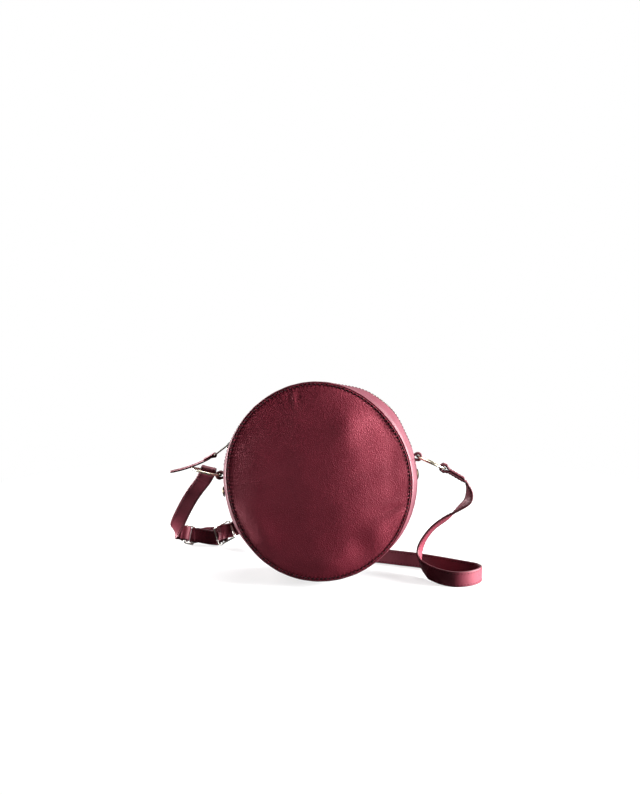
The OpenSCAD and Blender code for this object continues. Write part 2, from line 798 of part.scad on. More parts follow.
function arc_points(centre, r, from, to, steps) = [
    for (i = [0 : steps]) let (a = from + (to - from) * i / steps) centre + r * [cos(a), sin(a)]
];
// The running strap goes behind the slider's outer bars and before its middle bar
function wave(x) = (behind_bar - before_hook) / 2 - (behind_bar + before_hook) / 2 * cos(180 * x / glide_reach);

// Middle lines of the adjuster's strap. First the sewn end and the hook round the slider's middle bar,
// then the back layer, then the fold round the rectangular ring, the front layer and the wave
hook_line = concat(
    [
        [glide_at - glide_reach * 1.7, lap_y], [glide_at - glide_reach, lap_y],
        [glide_at - hook_r * 2.5, lap_y * 0.86], [glide_at - hook_r * 1.6, lap_y * 0.45]
    ],
    arc_points([glide_at, 0], hook_r, 190, 415, 12)
);
back_line = concat(
    arc_points([glide_at, 0], hook_r, 380, 415, 3),
    [
        [glide_at - hook_r * 0.6, lap_y * 0.88], [glide_at - hook_r * 2.4, lap_y + strap_t * 0.7],
        [glide_at - glide_reach, lap_y + strap_t * 1.05], [glide_at - glide_reach * 1.7, lap_y + strap_t],
        [glide_at - glide_reach * 2.4, fold_r * 1.25]
    ],
    arc_points([buckle_reach, 0], fold_r, 90, 110, 2)
);
front_line = concat(
    arc_points([buckle_reach, 0], fold_r, 90, 270, 10),
    [[buckle_reach + fold_r * 2, -fold_r * 0.8], [glide_at - glide_reach * 1.35, behind_bar * 0.9]],
    [for (i = [-8 : 8]) [glide_at + glide_reach * i / 8, wave(glide_reach * i / 8)]],
    [[run_start, behind_bar]]
);

// Both edges of a line of the given thickness, as one outline
function thick_line(line, t) = let (
    n = len(line),
    way = [for (i = [0 : n - 1]) unit(line[min(i + 1, n - 1)] - line[max(i - 1, 0)])],
    left = [for (i = [0 : n - 1]) line[i] + t / 2 * [-way[i].y, way[i].x]],
    right = [for (i = [0 : n - 1]) line[i] - t / 2 * [-way[i].y, way[i].x]]
) concat(left, [for (i = [n - 1 : -1 : 0]) right[i]]);

module strap_adjuster_loop() {
    color("#843842") in_adjuster() linear_extrude(strap_w, center = true) union() {
        polygon(thick_line(hook_line, strap_t));
        polygon(thick_line(back_line, strap_t));
        polygon(thick_line(front_line, strap_t));
    }
}

front_panel();
back_panel();
bottom_gusset();
zip_gusset_front();
zip_gusset_back();
zip_end_left();
zip_end_right();
front_welt();
back_welt();
lining_front();
lining_back();
lining_gusset();
lining_top();
zip_tape_front();
zip_tape_back();
zip_teeth_front();
zip_teeth_back();
zip_stops();
zip_slider();
zip_puller();
pull_tab();
tab_left();
tab_right();
ring_left();
ring_right();
rivet_caps();
rivet_backs();
strap_short_ring_end();
strap_short_run();
strap_short_buckle_end();
strap_buckle();
strap_slider();
strap_adjuster_loop();
strap_long_run();
strap_long_drop();
strap_long_ring_end();
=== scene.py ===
"""Looks of a round leather bag with a thin strap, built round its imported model.

Each piece is a surface worked out with numpy in millimetres and put into the mesh in metres.
"""
import math

import bpy
import numpy as np
from bpy.props import FloatProperty, FloatVectorProperty, PointerProperty
from mathutils import Matrix, Vector


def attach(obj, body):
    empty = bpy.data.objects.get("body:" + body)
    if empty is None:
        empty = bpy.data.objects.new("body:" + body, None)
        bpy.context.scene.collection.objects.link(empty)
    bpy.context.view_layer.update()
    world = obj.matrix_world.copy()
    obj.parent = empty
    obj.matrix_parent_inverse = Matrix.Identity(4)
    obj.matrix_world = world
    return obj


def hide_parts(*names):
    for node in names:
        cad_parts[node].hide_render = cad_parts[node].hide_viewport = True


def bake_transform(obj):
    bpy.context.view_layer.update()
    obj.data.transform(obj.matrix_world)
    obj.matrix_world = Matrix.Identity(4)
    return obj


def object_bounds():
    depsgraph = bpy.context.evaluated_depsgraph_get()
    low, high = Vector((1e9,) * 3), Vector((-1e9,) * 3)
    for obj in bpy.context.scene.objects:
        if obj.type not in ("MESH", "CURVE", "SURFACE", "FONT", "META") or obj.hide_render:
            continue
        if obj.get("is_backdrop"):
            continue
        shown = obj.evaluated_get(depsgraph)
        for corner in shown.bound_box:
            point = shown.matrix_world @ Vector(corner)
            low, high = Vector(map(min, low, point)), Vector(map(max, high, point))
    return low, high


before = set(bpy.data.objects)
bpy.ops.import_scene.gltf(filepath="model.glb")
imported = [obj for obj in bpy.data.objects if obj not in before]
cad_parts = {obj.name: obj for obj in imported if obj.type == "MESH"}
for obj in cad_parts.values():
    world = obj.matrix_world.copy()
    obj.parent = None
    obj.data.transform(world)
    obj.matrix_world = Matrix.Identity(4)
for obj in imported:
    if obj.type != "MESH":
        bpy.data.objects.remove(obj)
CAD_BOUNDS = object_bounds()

bl_info = {
    "name": "Round leather bag",
    "version": (1, 0, 0),
    "blender": (4, 5, 0),
    "location": "View3D > Sidebar > Round bag",
    "description": "Builds the leather, zip, hardware and strap of a round bag on its packed model",
    "category": "Object",
}

MM = 0.001
PI = math.pi

# Sizes in millimetres, repeated from the part's source
BAG_R, BULGE, HALF, CROWN = 99.0, 5.0, 35.0, 9.0
SEAM_R = BAG_R - BULGE
LEATHER, LINING, SINK = 1.8, 0.6, 1.5
LEAN, ROLL = math.radians(9), math.radians(6)
ARC_R = (HALF ** 2 + BULGE ** 2) / (2 * BULGE)
ARC_X = BAG_R - ARC_R
CENTRE = np.array([0.0, ARC_X * math.sin(LEAN), ARC_X * math.cos(LEAN) + ARC_R - SINK])
ZIP_START, SLIDER_AT, TAB_ANGLE = math.radians(15), math.radians(154), math.radians(8)
ZIP_SLOT, TAPE_W, TAPE_T = 9.0, 12.0, 0.5
TAPE_IN = LEATHER + 0.1
TOOTH_H, TOOTH_PITCH = 2.4, 3.0
CHAIN_R = BAG_R - TAPE_IN - TAPE_T / 2
BAIL_WIRE, BAIL_L, BAIL_ANGLE = 1.5, 17.0, math.radians(218)
PLATE_T = 1.1
PULL_L, PULL_W, PULL_T = 49.0, 7.0, 1.3
PULL_ROLL = math.radians(-14)
TAB_W, TAB_T = 12.0, 1.8
RING_BORE, RING_WIRE = 28.0, 2.4
RING_RIGHT, RING_LEFT = math.radians(-23), math.radians(167)
RIVET_DROP = 17.0
STRAP_W, STRAP_T, STRAP_LAP = 16.0, 2.2, 17.0
BUCKLE_GAP, BUCKLE_WIRE = 8.0, 2.6
GLIDE_WIRE, GLIDE_REACH, GLIDE_AT = 2.2, 11.0, 42.0
ADJUSTER_LEAN, ADJUSTER_TURN = math.radians(30), math.radians(10)
FIT = 0.3
AXIS = np.array([0.0, 1.0, 0.0])

# Where the leather meets the floor: the soft step's height, how far it fades, and the gap that is left
REST_SOFT, REST_FADE, REST_GAP = 0.9, 9.0, 0.02


def polar(r, a):
    """The point at radius r and angle a in the bag's middle plane."""
    return np.array([r * math.cos(a), 0.0, r * math.sin(a)])


def on_round(r, theta, y):
    """Points of the bag's own frame at radius r and angle theta, and at y along its axis."""
    r, theta, y = np.broadcast_arrays(r, theta, y)
    return np.stack([r * np.cos(theta), y, r * np.sin(theta)], -1)


def turned(path, angle):
    """A path (n, 2) laid into the bag's middle plane and turned by the angle."""
    c, s = math.cos(angle), math.sin(angle)
    return np.stack([path[:, 0] * c - path[:, 1] * s, 0 * path[:, 0], path[:, 0] * s + path[:, 1] * c], -1)


def turn_angles(n):
    """Even angles of one full turn."""
    return np.linspace(0, 2 * PI, n, endpoint=False)


def in_world(p):
    """A point of the bag's own frame, leaned back and lifted on to the floor."""
    p = np.asarray(p, float)
    c, s = math.cos(LEAN), math.sin(LEAN)
    return np.stack([p[..., 0], p[..., 1] * c + p[..., 2] * s, p[..., 2] * c - p[..., 1] * s], -1) + CENTRE


def world_way(v):
    """A direction of the bag's own frame, leaned back."""
    return in_world(v) - CENTRE


def unit(v):
    v = np.asarray(v, float)
    return v / np.linalg.norm(v, axis=-1, keepdims=True)


def settle(p):
    """Flattens what would be under the floor: z becomes half of z + sqrt(z^2 + s^2), a soft step at z = 0,
    less s / 2 * e^-(|z| / fade), which brings it down on to the floor."""
    p = p.copy()
    z = p[..., 2]
    low = REST_SOFT / 2 * np.exp(-np.abs(z) / REST_FADE)
    p[..., 2] = np.maximum((z + np.sqrt(z ** 2 + REST_SOFT ** 2)) / 2 - low, REST_GAP)
    return p


# The rings, and what goes round them
RING_MID = (RING_BORE + RING_WIRE) / 2
TAB_SAG = RING_MID - math.sqrt(RING_MID ** 2 - TAB_W ** 2 / 4)
STRAP_SAG = RING_MID - math.sqrt(RING_MID ** 2 - STRAP_W ** 2 / 4)
TAB_EYE = RING_WIRE / 2 + TAB_SAG / 2 + RING_WIRE * 0.45
STRAP_EYE = RING_WIRE / 2 + STRAP_SAG / 2 + FIT * 2
EYE_R = BAG_R + TAB_EYE * 1.1
LEFT_TAB, RIGHT_TAB = PI - TAB_ANGLE + ROLL, TAB_ANGLE + ROLL
LEFT_EYE, RIGHT_EYE = polar(EYE_R, LEFT_TAB), polar(EYE_R, RIGHT_TAB)
LEFT_RING = LEFT_EYE + polar(RING_MID - TAB_SAG / 2, RING_LEFT)
RIGHT_RING = RIGHT_EYE + polar(RING_MID - TAB_SAG / 2, RING_RIGHT)
STRAP_OUT = RING_MID - STRAP_SAG / 2
RIGHT_STRAP_EYE = RIGHT_RING + polar(STRAP_OUT, RING_RIGHT)
LEFT_STRAP_EYE = LEFT_RING + np.array([0, STRAP_OUT, 0])
PLATE_IN = TAPE_IN + TAPE_T / 2 - TOOTH_H / 2 - FIT
CROWN_HOLE = BAIL_WIRE / 2 + FIT
PIN = polar(BAG_R - PLATE_IN + PLATE_T + CROWN_HOLE, SLIDER_AT + ROLL)
BAR = PIN + polar(BAIL_L, BAIL_ANGLE)
RING_FAR = LEFT_RING + polar(RING_MID, RING_LEFT) - BAR
PULL_CURVE = PULL_L * 2.75
RING_FAR_L = float(np.linalg.norm(RING_FAR))
PULL_DIP = (PULL_L - RING_FAR_L) * RING_FAR_L / (2 * PULL_CURVE)
PULL_ANGLE = math.atan2(RING_FAR[2], RING_FAR[0]) - math.asin(
    (RING_WIRE / 2 + PULL_T / 2 + FIT + PULL_DIP) / RING_FAR_L)
TAIL_RIGHT = RING_RIGHT - math.radians(7)
TAIL_TILT = math.radians(52)

# The adjuster's frame: X along the strap, Z along the bars
BUCKLE_R, GLIDE_R = BUCKLE_WIRE / 2, GLIDE_WIRE / 2
BUCKLE_REACH = BUCKLE_GAP / 2 + BUCKLE_R
BUCKLE_SIDE, GLIDE_SIDE = STRAP_W / 2 + FIT * 2 + BUCKLE_R, STRAP_W / 2 + FIT * 2 + GLIDE_R
ADJUSTER = np.array([-1.515 * BAG_R, 0.576 * BAG_R + HALF, BUCKLE_SIDE * math.cos(ADJUSTER_LEAN) + BUCKLE_R])
ADJ_X = np.array([math.cos(ADJUSTER_TURN), -math.sin(ADJUSTER_TURN), 0.0])
ADJ_Z = np.array([math.sin(ADJUSTER_TURN) * math.sin(ADJUSTER_LEAN),
                  math.cos(ADJUSTER_TURN) * math.sin(ADJUSTER_LEAN), math.cos(ADJUSTER_LEAN)])
ADJ_Y = np.cross(ADJ_Z, ADJ_X)
HOOK_R, FOLD_R = GLIDE_R + FIT + STRAP_T / 2, BUCKLE_R + FIT + STRAP_T / 2
BEHIND_BAR = GLIDE_R + FIT + STRAP_T / 2
BEFORE_HOOK = HOOK_R + STRAP_T + FIT * 2
LAP_Y = BEHIND_BAR + STRAP_T + FIT * 1.5
RUN_START = GLIDE_AT + GLIDE_REACH + GLIDE_WIRE * 3
GLIDE_LEAN = -20
RING_TURN, GLIDE_TURN = math.radians(45), math.radians(-24)


def adjuster_point(x, y, z=0.0):
    """Points of the adjuster's frame in the world. Left of the rectangular ring's right bar the plan is
    turned round that bar by RING_TURN, right of the slider's left bar round that one by GLIDE_TURN."""
    x, y, z = np.broadcast_arrays(np.asarray(x, float), y, z)
    for pivot, turn, side in ((BUCKLE_REACH, RING_TURN, -1), (GLIDE_AT - GLIDE_REACH, GLIDE_TURN, 1)):
        far = (x - pivot) * side > 0
        x, y = (np.where(far, pivot + (x - pivot) * math.cos(turn) - y * math.sin(turn), x),
                np.where(far, (x - pivot) * math.sin(turn) + y * math.cos(turn), y))
    return ADJUSTER + x[..., None] * ADJ_X + y[..., None] * ADJ_Y + z[..., None] * ADJ_Z


# The straps' ways as shares of the bag's radius, repeated from the part's source. The last two rows of SHORT
# are up to 7 mm off that source, where the strap comes down to the rectangular ring.
DROP = np.array([
    [1.533, -0.03, 0.808, 0], [1.517, -0.04, 0.707, 0], [1.426, -0.04, 0.622, 0], [1.298, -0.03, 0.517, 0],
    [1.16, -0.02, 0.401, 0], [1.063, -0.081, 0.258, 0.2], [1.028, -0.217, 0.136, 0.5],
    [1.051, -0.404, 0.045, 0.8], [1.126, -0.611, 0.006, 1]])
DROP_WIDTH = np.array([
    [0.30, -0.95, 0], [0.35, -0.93, 0], [0, -1, 0], [-0.30, -0.89, 0.34], [-0.33, -0.90, 0.28],
    [-0.37, -0.90, 0.20], [-0.30, -0.85, 0.45], [-0.15, -0.60, 0.80], [0, -0.10, 1]])
FLOOR = np.array([
    [1.237, -0.732], [1.364, -0.808], [1.495, -0.788], [1.601, -0.707], [1.652, -0.596], [1.611, -0.505],
    [1.505, -0.439], [1.303, -0.323], [1.03, -0.182], [0.859, -0.121], [0.616, -0.035], [0.354, 0.03],
    [0.051, 0.081], [-0.253, 0.121], [-0.485, 0.182], [-0.626, 0.313], [-0.586, 0.495], [-0.404, 0.606],
    [-0.101, 0.626], [0.202, 0.606], [0.455, 0.626], [0.626, 0.747], [0.606, 0.929], [0.424, 1.04],
    [0.101, 1.071], [-0.253, 1.081], [-0.556, 1.061], [-0.747, 0.97], [-0.818, 0.818], [-0.818, 0.677]])
SHORT = np.array([
    [-1.338, 0.121, 0.697, 0.5], [-1.414, 0.172, 0.581, 0.6], [-1.515, 0.273, 0.404, 0.8],
    [-1.606, 0.384, 0.222, 0.9], [-1.657, 0.465, 0.096, 1]])
SHORT_WIDTH = np.array([
    [-0.93, -0.10, 0.34], [-0.92, -0.16, 0.36], [-0.89, -0.18, 0.42], [-0.76, -0.06, 0.64],
    [-0.45, 0.20, 0.87]])


def share_points(s):
    return np.stack([s[:, 0] * BAG_R, s[:, 1] * BAG_R + s[:, 3] * HALF, s[:, 2] * BAG_R + STRAP_W / 2], -1)


def floor_points(s):
    return np.stack([s[:, 0] * BAG_R, s[:, 1] * BAG_R + HALF, np.full(len(s), STRAP_W / 2)], -1)


def smooth_path(points, steps):
    """A Catmull-Rom curve through the points: on each stretch a cubic whose end slopes are half of the
    difference of the points on either side."""
    p = np.asarray(points, float)
    p = np.vstack([2 * p[0] - p[1], p, 2 * p[-1] - p[-2]])
    t = np.arange(steps) / steps
    t = t[None, :, None]
    a, b, c, d = (x[:, None, :] for x in (p[:-3], p[1:-2], p[2:-1], p[3:]))
    q = (2 * b + (c - a) * t + (2 * a - 5 * b + 4 * c - d) * t ** 2 + (3 * b - a - 3 * c + d) * t ** 3) / 2
    return np.vstack([q.reshape(-1, p.shape[1]), p[-2]])


def run_along(line):
    """How far along a line each of its points is."""
    return np.concatenate([[0], np.cumsum(np.linalg.norm(np.diff(line, axis=0), axis=-1))])


def even_path(p, w, step):
    """The same line with its points the given step apart, and what goes with them carried along."""
    run = run_along(p)
    at = np.linspace(0, run[-1], max(2, int(round(run[-1] / step)) + 1))
    pick = lambda v: np.stack([np.interp(at, run, v[:, k]) for k in range(v.shape[1])], -1)
    return pick(p), pick(w), at


def frames(p, w):
    """Way, across and out at each point of a line: way is the difference of the neighbours, across is the
    width direction made square to it, and out is way x across."""
    way = unit(np.gradient(p, axis=0))
    across = unit(w - (w * way).sum(-1, keepdims=True) * way)
    return way, across, np.cross(way, across)


def quads(corners):
    """Stacks the four corners of each cell of a grid, of point numbers or of UVs."""
    return np.stack([corners[:-1, :-1], corners[1:, :-1], corners[1:, 1:], corners[:-1, 1:]], 2)


def copies(faces, size, count):
    """The faces of count like blocks, each of which has size points."""
    return list((faces[None] + size * np.arange(count)[:, None, None]).reshape(-1, 4))


def mesh_object(name, points, faces, uv=None, edge=None):
    """An object with these points in millimetres, quads or triangles, an optional UV for each face corner
    and an optional edge mask for each point."""
    mesh = bpy.data.meshes.new(name)
    mesh.from_pydata((np.asarray(points) * MM).tolist(), [], [f.tolist() for f in faces])
    mesh.validate()
    if uv is not None:
        layer = mesh.uv_layers.new(name="UVMap")
        layer.data.foreach_set("uv", np.asarray(uv, np.float32).ravel())
    if edge is not None:
        attribute = mesh.attributes.new("edge", "FLOAT", "POINT")
        attribute.data.foreach_set("value", np.asarray(edge, np.float32).ravel())
    mesh.polygons.foreach_set("use_smooth", np.ones(len(mesh.polygons), bool))
    mesh.update()
    piece = bpy.data.objects.new(name, mesh)
    bpy.context.scene.collection.objects.link(piece)
    return piece


def grid(name, p, close_u=False, close_v=False, caps=False, flip=False, edge=None):
    """A surface from a grid of points: p[i, j] are joined to their neighbours by quads, round again where a
    direction is closed. Caps close both ends of a tube with a fan to their middle. UV runs in metres."""
    nu, nv = p.shape[:2]
    index, full = np.arange(nu * nv).reshape(nu, nv), p
    if close_u:
        index, full = np.vstack([index, index[:1]]), np.vstack([full, full[:1]])
    if close_v:
        index, full = np.hstack([index, index[:, :1]]), np.concatenate([full, full[:, :1]], 1)
    cells = quads(index).reshape(-1, 4)
    u, v = run_along(full[:, full.shape[1] // 2]) * MM, run_along(full[full.shape[0] // 2]) * MM
    uv = np.stack(np.meshgrid(u, v, indexing="ij"), -1)
    corner = quads(uv).reshape(-1, 4, 2)
    points = p.reshape(-1, 3)
    edge = None if edge is None else np.broadcast_to(edge, (nu, nv)).ravel()
    if flip:
        cells, corner = cells[:, ::-1], corner[:, ::-1]
    faces, corners = [cells], [corner.reshape(-1, 2)]
    if caps:
        for row, back in ((0, flip), (nu - 1, not flip)):
            ring = np.arange(nv) + row * nv
            fan = np.stack([np.full(nv, len(points)), ring, np.roll(ring, -1)], -1)
            points = np.vstack([points, p[row].mean(0)])
            edge = None if edge is None else np.append(edge, 1.0)
            faces.append(fan[:, ::-1] if back else fan)
            corners.append(np.tile(uv[row if row == 0 else -1, 0], (nv * 3, 1)))
    return mesh_object(name, points, [f for part in faces for f in part], np.vstack(corners), edge)


def shell(name, p, flip=False, poles=2):
    """A round skin from closed rings of points p[i, j]: the first ring is drawn together in its middle, and
    with two poles the last one too. UV is the point's place in the bag's plane, in metres."""
    nr, nt = p.shape[:2]
    points = np.vstack([p.reshape(-1, 3), p[:1].mean(1), p[-1:].mean(1)][:poles + 1])
    ring = np.arange(nr * nt).reshape(nr, nt)
    ring = np.hstack([ring, ring[:, :1]])
    cells = quads(ring).reshape(-1, 4)
    fans = [np.stack([np.full(nt, nr * nt), ring[0, :-1], ring[0, 1:]], -1)]
    if poles == 2:
        fans.append(np.stack([np.full(nt, nr * nt + 1), ring[-1, 1:], ring[-1, :-1]], -1))
    fan = np.vstack(fans)
    if flip:
        cells, fan = cells[:, ::-1], fan[:, ::-1]
    flat = points[:, [0, 2]] * MM
    uv = np.vstack([flat[cells].reshape(-1, 2), flat[fan].reshape(-1, 2)])
    return mesh_object(name, points, list(cells) + list(fan), uv)


# A strip's edge: its rounding as a share of half the thickness, and the points of a corner and of a face
ROUND_SHARE, CORNER_POINTS, FACE_POINTS = 0.9, 7, 7


def rounded_bar(width, thick):
    """The outline of a strip's section: a rectangle with rounded long edges, and the edge mask: 1 on the
    rounded sides, 0 on both faces. The points run round once, starting at one edge."""
    r = thick / 2 * ROUND_SHARE
    corner = np.linspace(0, PI / 2, CORNER_POINTS)
    face = np.linspace(-1, 1, FACE_POINTS + 2)[1:-1] * (width / 2 - r)
    side = np.stack([width / 2 - r + r * np.cos(corner), thick / 2 - r + r * np.sin(corner)], -1)
    top = np.stack([face[::-1], np.full(FACE_POINTS, thick / 2)], -1)
    half = np.vstack([side, top, side[::-1] * [-1, 1]])
    outline = np.vstack([half, (half * [1, -1])[::-1]])
    return outline, (np.abs(outline[:, 0]) > width / 2 - r * 0.75).astype(float)


def carried(name, p, across, out, width, thick, scale=1.0):
    """A strip's section carried along points: (s, n) goes to p + scale * s * across + n * out."""
    outline, mask = rounded_bar(width, thick)
    s = outline[None, :, :1] * np.broadcast_to(scale, (len(p),))[:, None, None]
    rings = p[:, None] + s * across[:, None] + outline[None, :, 1:] * out[:, None]
    return grid(name, rings, close_v=True, caps=True, edge=mask[None])


def strip(name, p, w, width, thick, step):
    """A flat strip along a line, and that line's even points, ways, widths, outs and places along it."""
    p, w, at = even_path(p, w, step)
    way, across, out = frames(p, w)
    return carried(name, p, across, out, width, thick), (p, way, across, out, at)


def tube(name, p, radius, closed=False, n=16, up=(0, 1, 0)):
    """A round tube along a line: circle of the given radius square to the way at each point."""
    p = np.asarray(p, float)
    way = unit(np.roll(p, -1, 0) - np.roll(p, 1, 0) if closed else np.gradient(p, axis=0))
    side = unit(np.cross(way, up))
    top = np.cross(side, way)
    a = turn_angles(n)[None, :, None]
    rings = p[:, None] + radius * (np.cos(a) * side[:, None] + np.sin(a) * top[:, None])
    return grid(name, rings, close_u=closed, close_v=True, caps=not closed)


# A stitch's rings along its own line: place, thickness as a share of the middle's, and points in a ring
STITCH_PLACES, STITCH_SHARES, STITCH_SIDES = (-1, -0.62, 0, 0.62, 1), (0.45, 0.95, 1, 0.95, 0.45), 6
STITCH_ENDS = ((0, 1, 2, 3), (0, 3, 4, 5), (27, 26, 25, 24), (29, 28, 27, 24))


def stitches(name, centre, along, up, length, radius):
    """Many small stitches in one mesh. Each is five rings of six points along its own line, thick in the
    middle and thin at its ends, which dip under the surface by half the radius * |place|^3."""
    t, thick = np.array(STITCH_PLACES), np.array(STITCH_SHARES)
    a = turn_angles(STITCH_SIDES)
    side = unit(np.cross(along, up))
    up = np.cross(side, along)
    dip = -np.abs(t) ** 3 / 2 * radius
    line = centre[:, None] + t[:, None] * length / 2 * along[:, None] + dip[:, None] * up[:, None]
    ring = np.cos(a)[:, None] * side[:, None, None] + np.sin(a)[:, None] * up[:, None, None]
    points = line[:, :, None] + radius * thick[:, None, None] * ring
    size = len(t) * STITCH_SIDES
    index = np.arange(size).reshape(-1, STITCH_SIDES)
    faces = np.vstack([quads(np.hstack([index, index[:, :1]])).reshape(-1, 4), STITCH_ENDS])
    return mesh_object(name, points.reshape(-1, 3), copies(faces, size, len(centre)))


def two_rows(p, way, across, up, inset):
    """Where two rows of stitches go, the inset to either side of a line, with their ways and ups."""
    return np.vstack([p - across * inset, p + across * inset]), np.vstack([way, way]), np.vstack([up, up])


def join(name, pieces):
    """Several objects as one mesh."""
    for piece in bpy.context.selected_objects:
        piece.select_set(False)
    for piece in pieces:
        piece.select_set(True)
    bpy.context.view_layer.objects.active = pieces[0]
    bpy.ops.object.join()
    pieces[0].name = pieces[0].data.name = name
    pieces[0].select_set(False)
    return pieces[0]


def dress(piece, look, body=None, replaces=()):
    """Gives a piece its look, its body and the nodes it stands for."""
    piece.data.materials.clear()
    piece.data.materials.append(looks()[look])
    if body:
        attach(piece, body)
    if replaces:
        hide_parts(*replaces)
    return piece


class Value:
    """A socket in Python sums: adding, multiplying and so on puts Math nodes into the material."""

    def __init__(self, look, socket):
        self.look, self.socket = look, socket

    def math(self, operation, *values):
        return self.look.node("ShaderNodeMath", {"operation": operation}, dict(enumerate(values)))

    def sine(self):
        return self.math("SINE", self)

    def root(self):
        return self.math("SQRT", self)

    def clamp(self):
        return self.math("MINIMUM", self.math("MAXIMUM", self, 0.0), 1.0)


def sum_method(operation, swapped):
    """A method for one sign, such as + or *, with the value before or behind it."""
    return lambda self, other: self.math(operation, *((other, self) if swapped else (self, other)))


for sign, operation in (("add", "ADD"), ("sub", "SUBTRACT"), ("mul", "MULTIPLY"), ("truediv", "DIVIDE")):
    setattr(Value, f"__{sign}__", sum_method(operation, False))
    setattr(Value, f"__r{sign}__", sum_method(operation, True))


class Look:
    """One procedural material."""

    def __init__(self, name):
        self.material = bpy.data.materials.new(name)
        self.material.use_nodes = True
        self.tree = self.material.node_tree
        self.tree.nodes.clear()
        self.out = self.tree.nodes.new("ShaderNodeOutputMaterial")

    def node(self, kind, settings=None, inputs=None, output=0):
        """Adds a node, sets it, fills or links its sockets, and gives one of its outputs."""
        node = self.tree.nodes.new(kind)
        for key, value in (settings or {}).items():
            setattr(node, key, value)
        for key, value in (inputs or {}).items():
            if isinstance(value, Value):
                self.tree.links.new(value.socket, node.inputs[key])
            else:
                node.inputs[key].default_value = value
        return Value(self, node.outputs[output])

    def place(self):
        """Object coordinates, in metres."""
        return self.node("ShaderNodeTexCoord", output="Object")

    def mask(self, name):
        return self.node("ShaderNodeAttribute", {"attribute_name": name}, output="Fac")

    def noise(self, place, scale, detail=2.0, roughness=0.5):
        return self.node("ShaderNodeTexNoise", {}, {
            "Vector": place, "Scale": scale, "Detail": detail, "Roughness": roughness})

    def cells(self, place, scale, feature):
        return self.node("ShaderNodeTexVoronoi", {"feature": feature}, {
            "Vector": place, "Scale": scale}, output="Distance")

    def mix(self, factor, a, b):
        """A mix of two colours."""
        return self.node("ShaderNodeMix", {"data_type": "RGBA"}, {
            "Factor": factor, 6: a, 7: b}, output=2)

    def split(self, vector):
        node = self.tree.nodes.new("ShaderNodeSeparateXYZ")
        self.tree.links.new(vector.socket, node.inputs[0])
        return [Value(self, s) for s in node.outputs]

    def bump(self, height, strength, distance):
        return self.node("ShaderNodeBump", {}, {"Height": height, "Strength": strength, "Distance": distance})

    def finish(self, **sockets):
        """The surface shader with these sockets, named with _ for spaces."""
        inputs = {name.replace("_", " "): value for name, value in sockets.items()}
        shader = self.node("ShaderNodeBsdfPrincipled", {}, inputs)
        self.tree.links.new(shader.socket, self.out.inputs["Surface"])
        return self.material


def rgb(hex_colour):
    """A linear colour from a hex triplet as seen on a screen."""
    c = np.array([int(hex_colour[i:i + 2], 16) for i in (0, 2, 4)]) / 255
    c = np.where(c <= 0.04045, c / 12.92, ((c + 0.055) / 1.055) ** 2.4)
    return (*c.tolist(), 1.0)


def tone(colour, gain):
    """A colour made lighter or darker."""
    return (*[min(1.0, c * gain) for c in colour[:3]], 1.0)


# Scales of the leather's noise, per metre: the grain's warp, cells and creases, its finest grain, and the
# clouds and patches of its colour
WARP, CELL, CREASE, FINE, CLOUD, PATCH = 300, 900, 640, 2600, 16, 60


def leather_look(name, colour, grain, roughness, painted_edge=False, crease_shade=1.0, sheen=0.35):
    """Pebbled leather: cells of about a millimetre with fine creases between them, a finer grain inside,
    cloudy colour, painted shade darkening the creases, glossier tops and duller creases. The sheen is the
    tinted lustre of the finish."""
    look = Look(name)
    place = look.place()
    warp = look.noise(place, WARP)
    cell = look.cells(place, CELL, "F1")
    crack = look.cells(place, CREASE, "DISTANCE_TO_EDGE")
    pebble = (crack * 2.6).clamp()
    fine = look.noise(place, FINE, 2, 0.6)
    cloud = look.noise(place, CLOUD, 3, 0.55)
    patch = look.noise(place, PATCH)
    shade = (cloud * 0.7 + patch * 0.3 - 0.5) * 1.5 + 0.5
    base = look.mix(shade.clamp(), tone(colour, 0.82), tone(colour, 1.18))
    # Painted shade: the creases between the pebbles are mixed towards half the colour
    base = look.mix((1 - pebble) * 0.38 * crease_shade, base, tone(colour, 0.5))
    height = pebble * 0.62 + (1 - cell) * 0.25 + warp * 0.35 + fine * 0.13
    rough = roughness + (1 - pebble) * 0.12 + (patch - 0.5) * 0.14
    if painted_edge:
        edge = look.mask("edge").clamp()
        base = look.mix(edge, base, tone(colour, 0.42))
        rough = rough * (1 - edge) + edge * 0.5
        height = height * (1 - edge)
    normal = look.bump(height, 0.5 * grain, 0.0006)
    return look.finish(Base_Color=base, Metallic=sheen, Roughness=rough, Normal=normal,
                       Specular_IOR_Level=0.5)


def metal_look(name, colour, roughness=0.2, wear=0.5):
    """Plated metal: fine rubbing marks, duller clouds and a slightly uneven face."""
    look = Look(name)
    place = look.place()
    cloud = look.noise(place, 240, 3, 0.6)
    marks = look.noise(place, 3200, 2, 0.7)
    base = look.mix((cloud * 0.7 + marks * 0.3).clamp(), tone(colour, 0.82), tone(colour, 1.1))
    rough = roughness + (cloud - 0.5) * 0.22 * wear + (marks - 0.5) * 0.1 * wear
    normal = look.bump(cloud * 0.8 + marks * 0.2, 0.12 * wear, 0.0003)
    return look.finish(Base_Color=base, Metallic=1.0, Roughness=rough, Normal=normal)


def cloth_look(name, colour, threads):
    """Woven cloth: two sine waves across each other in object space make the threads."""
    look = Look(name)
    x, y, z = look.split(look.place())
    weave = ((x + z * 0.6) * threads).sine() * ((y - z * 0.4) * threads).sine() * 0.5 + 0.5
    cloud = look.noise(look.place(), 120)
    base = look.mix((weave * 0.6 + cloud * 0.4).clamp(), tone(colour, 0.7), tone(colour, 1.25))
    return look.finish(Base_Color=base, Roughness=0.85, Normal=look.bump(weave, 0.4, 0.0002))


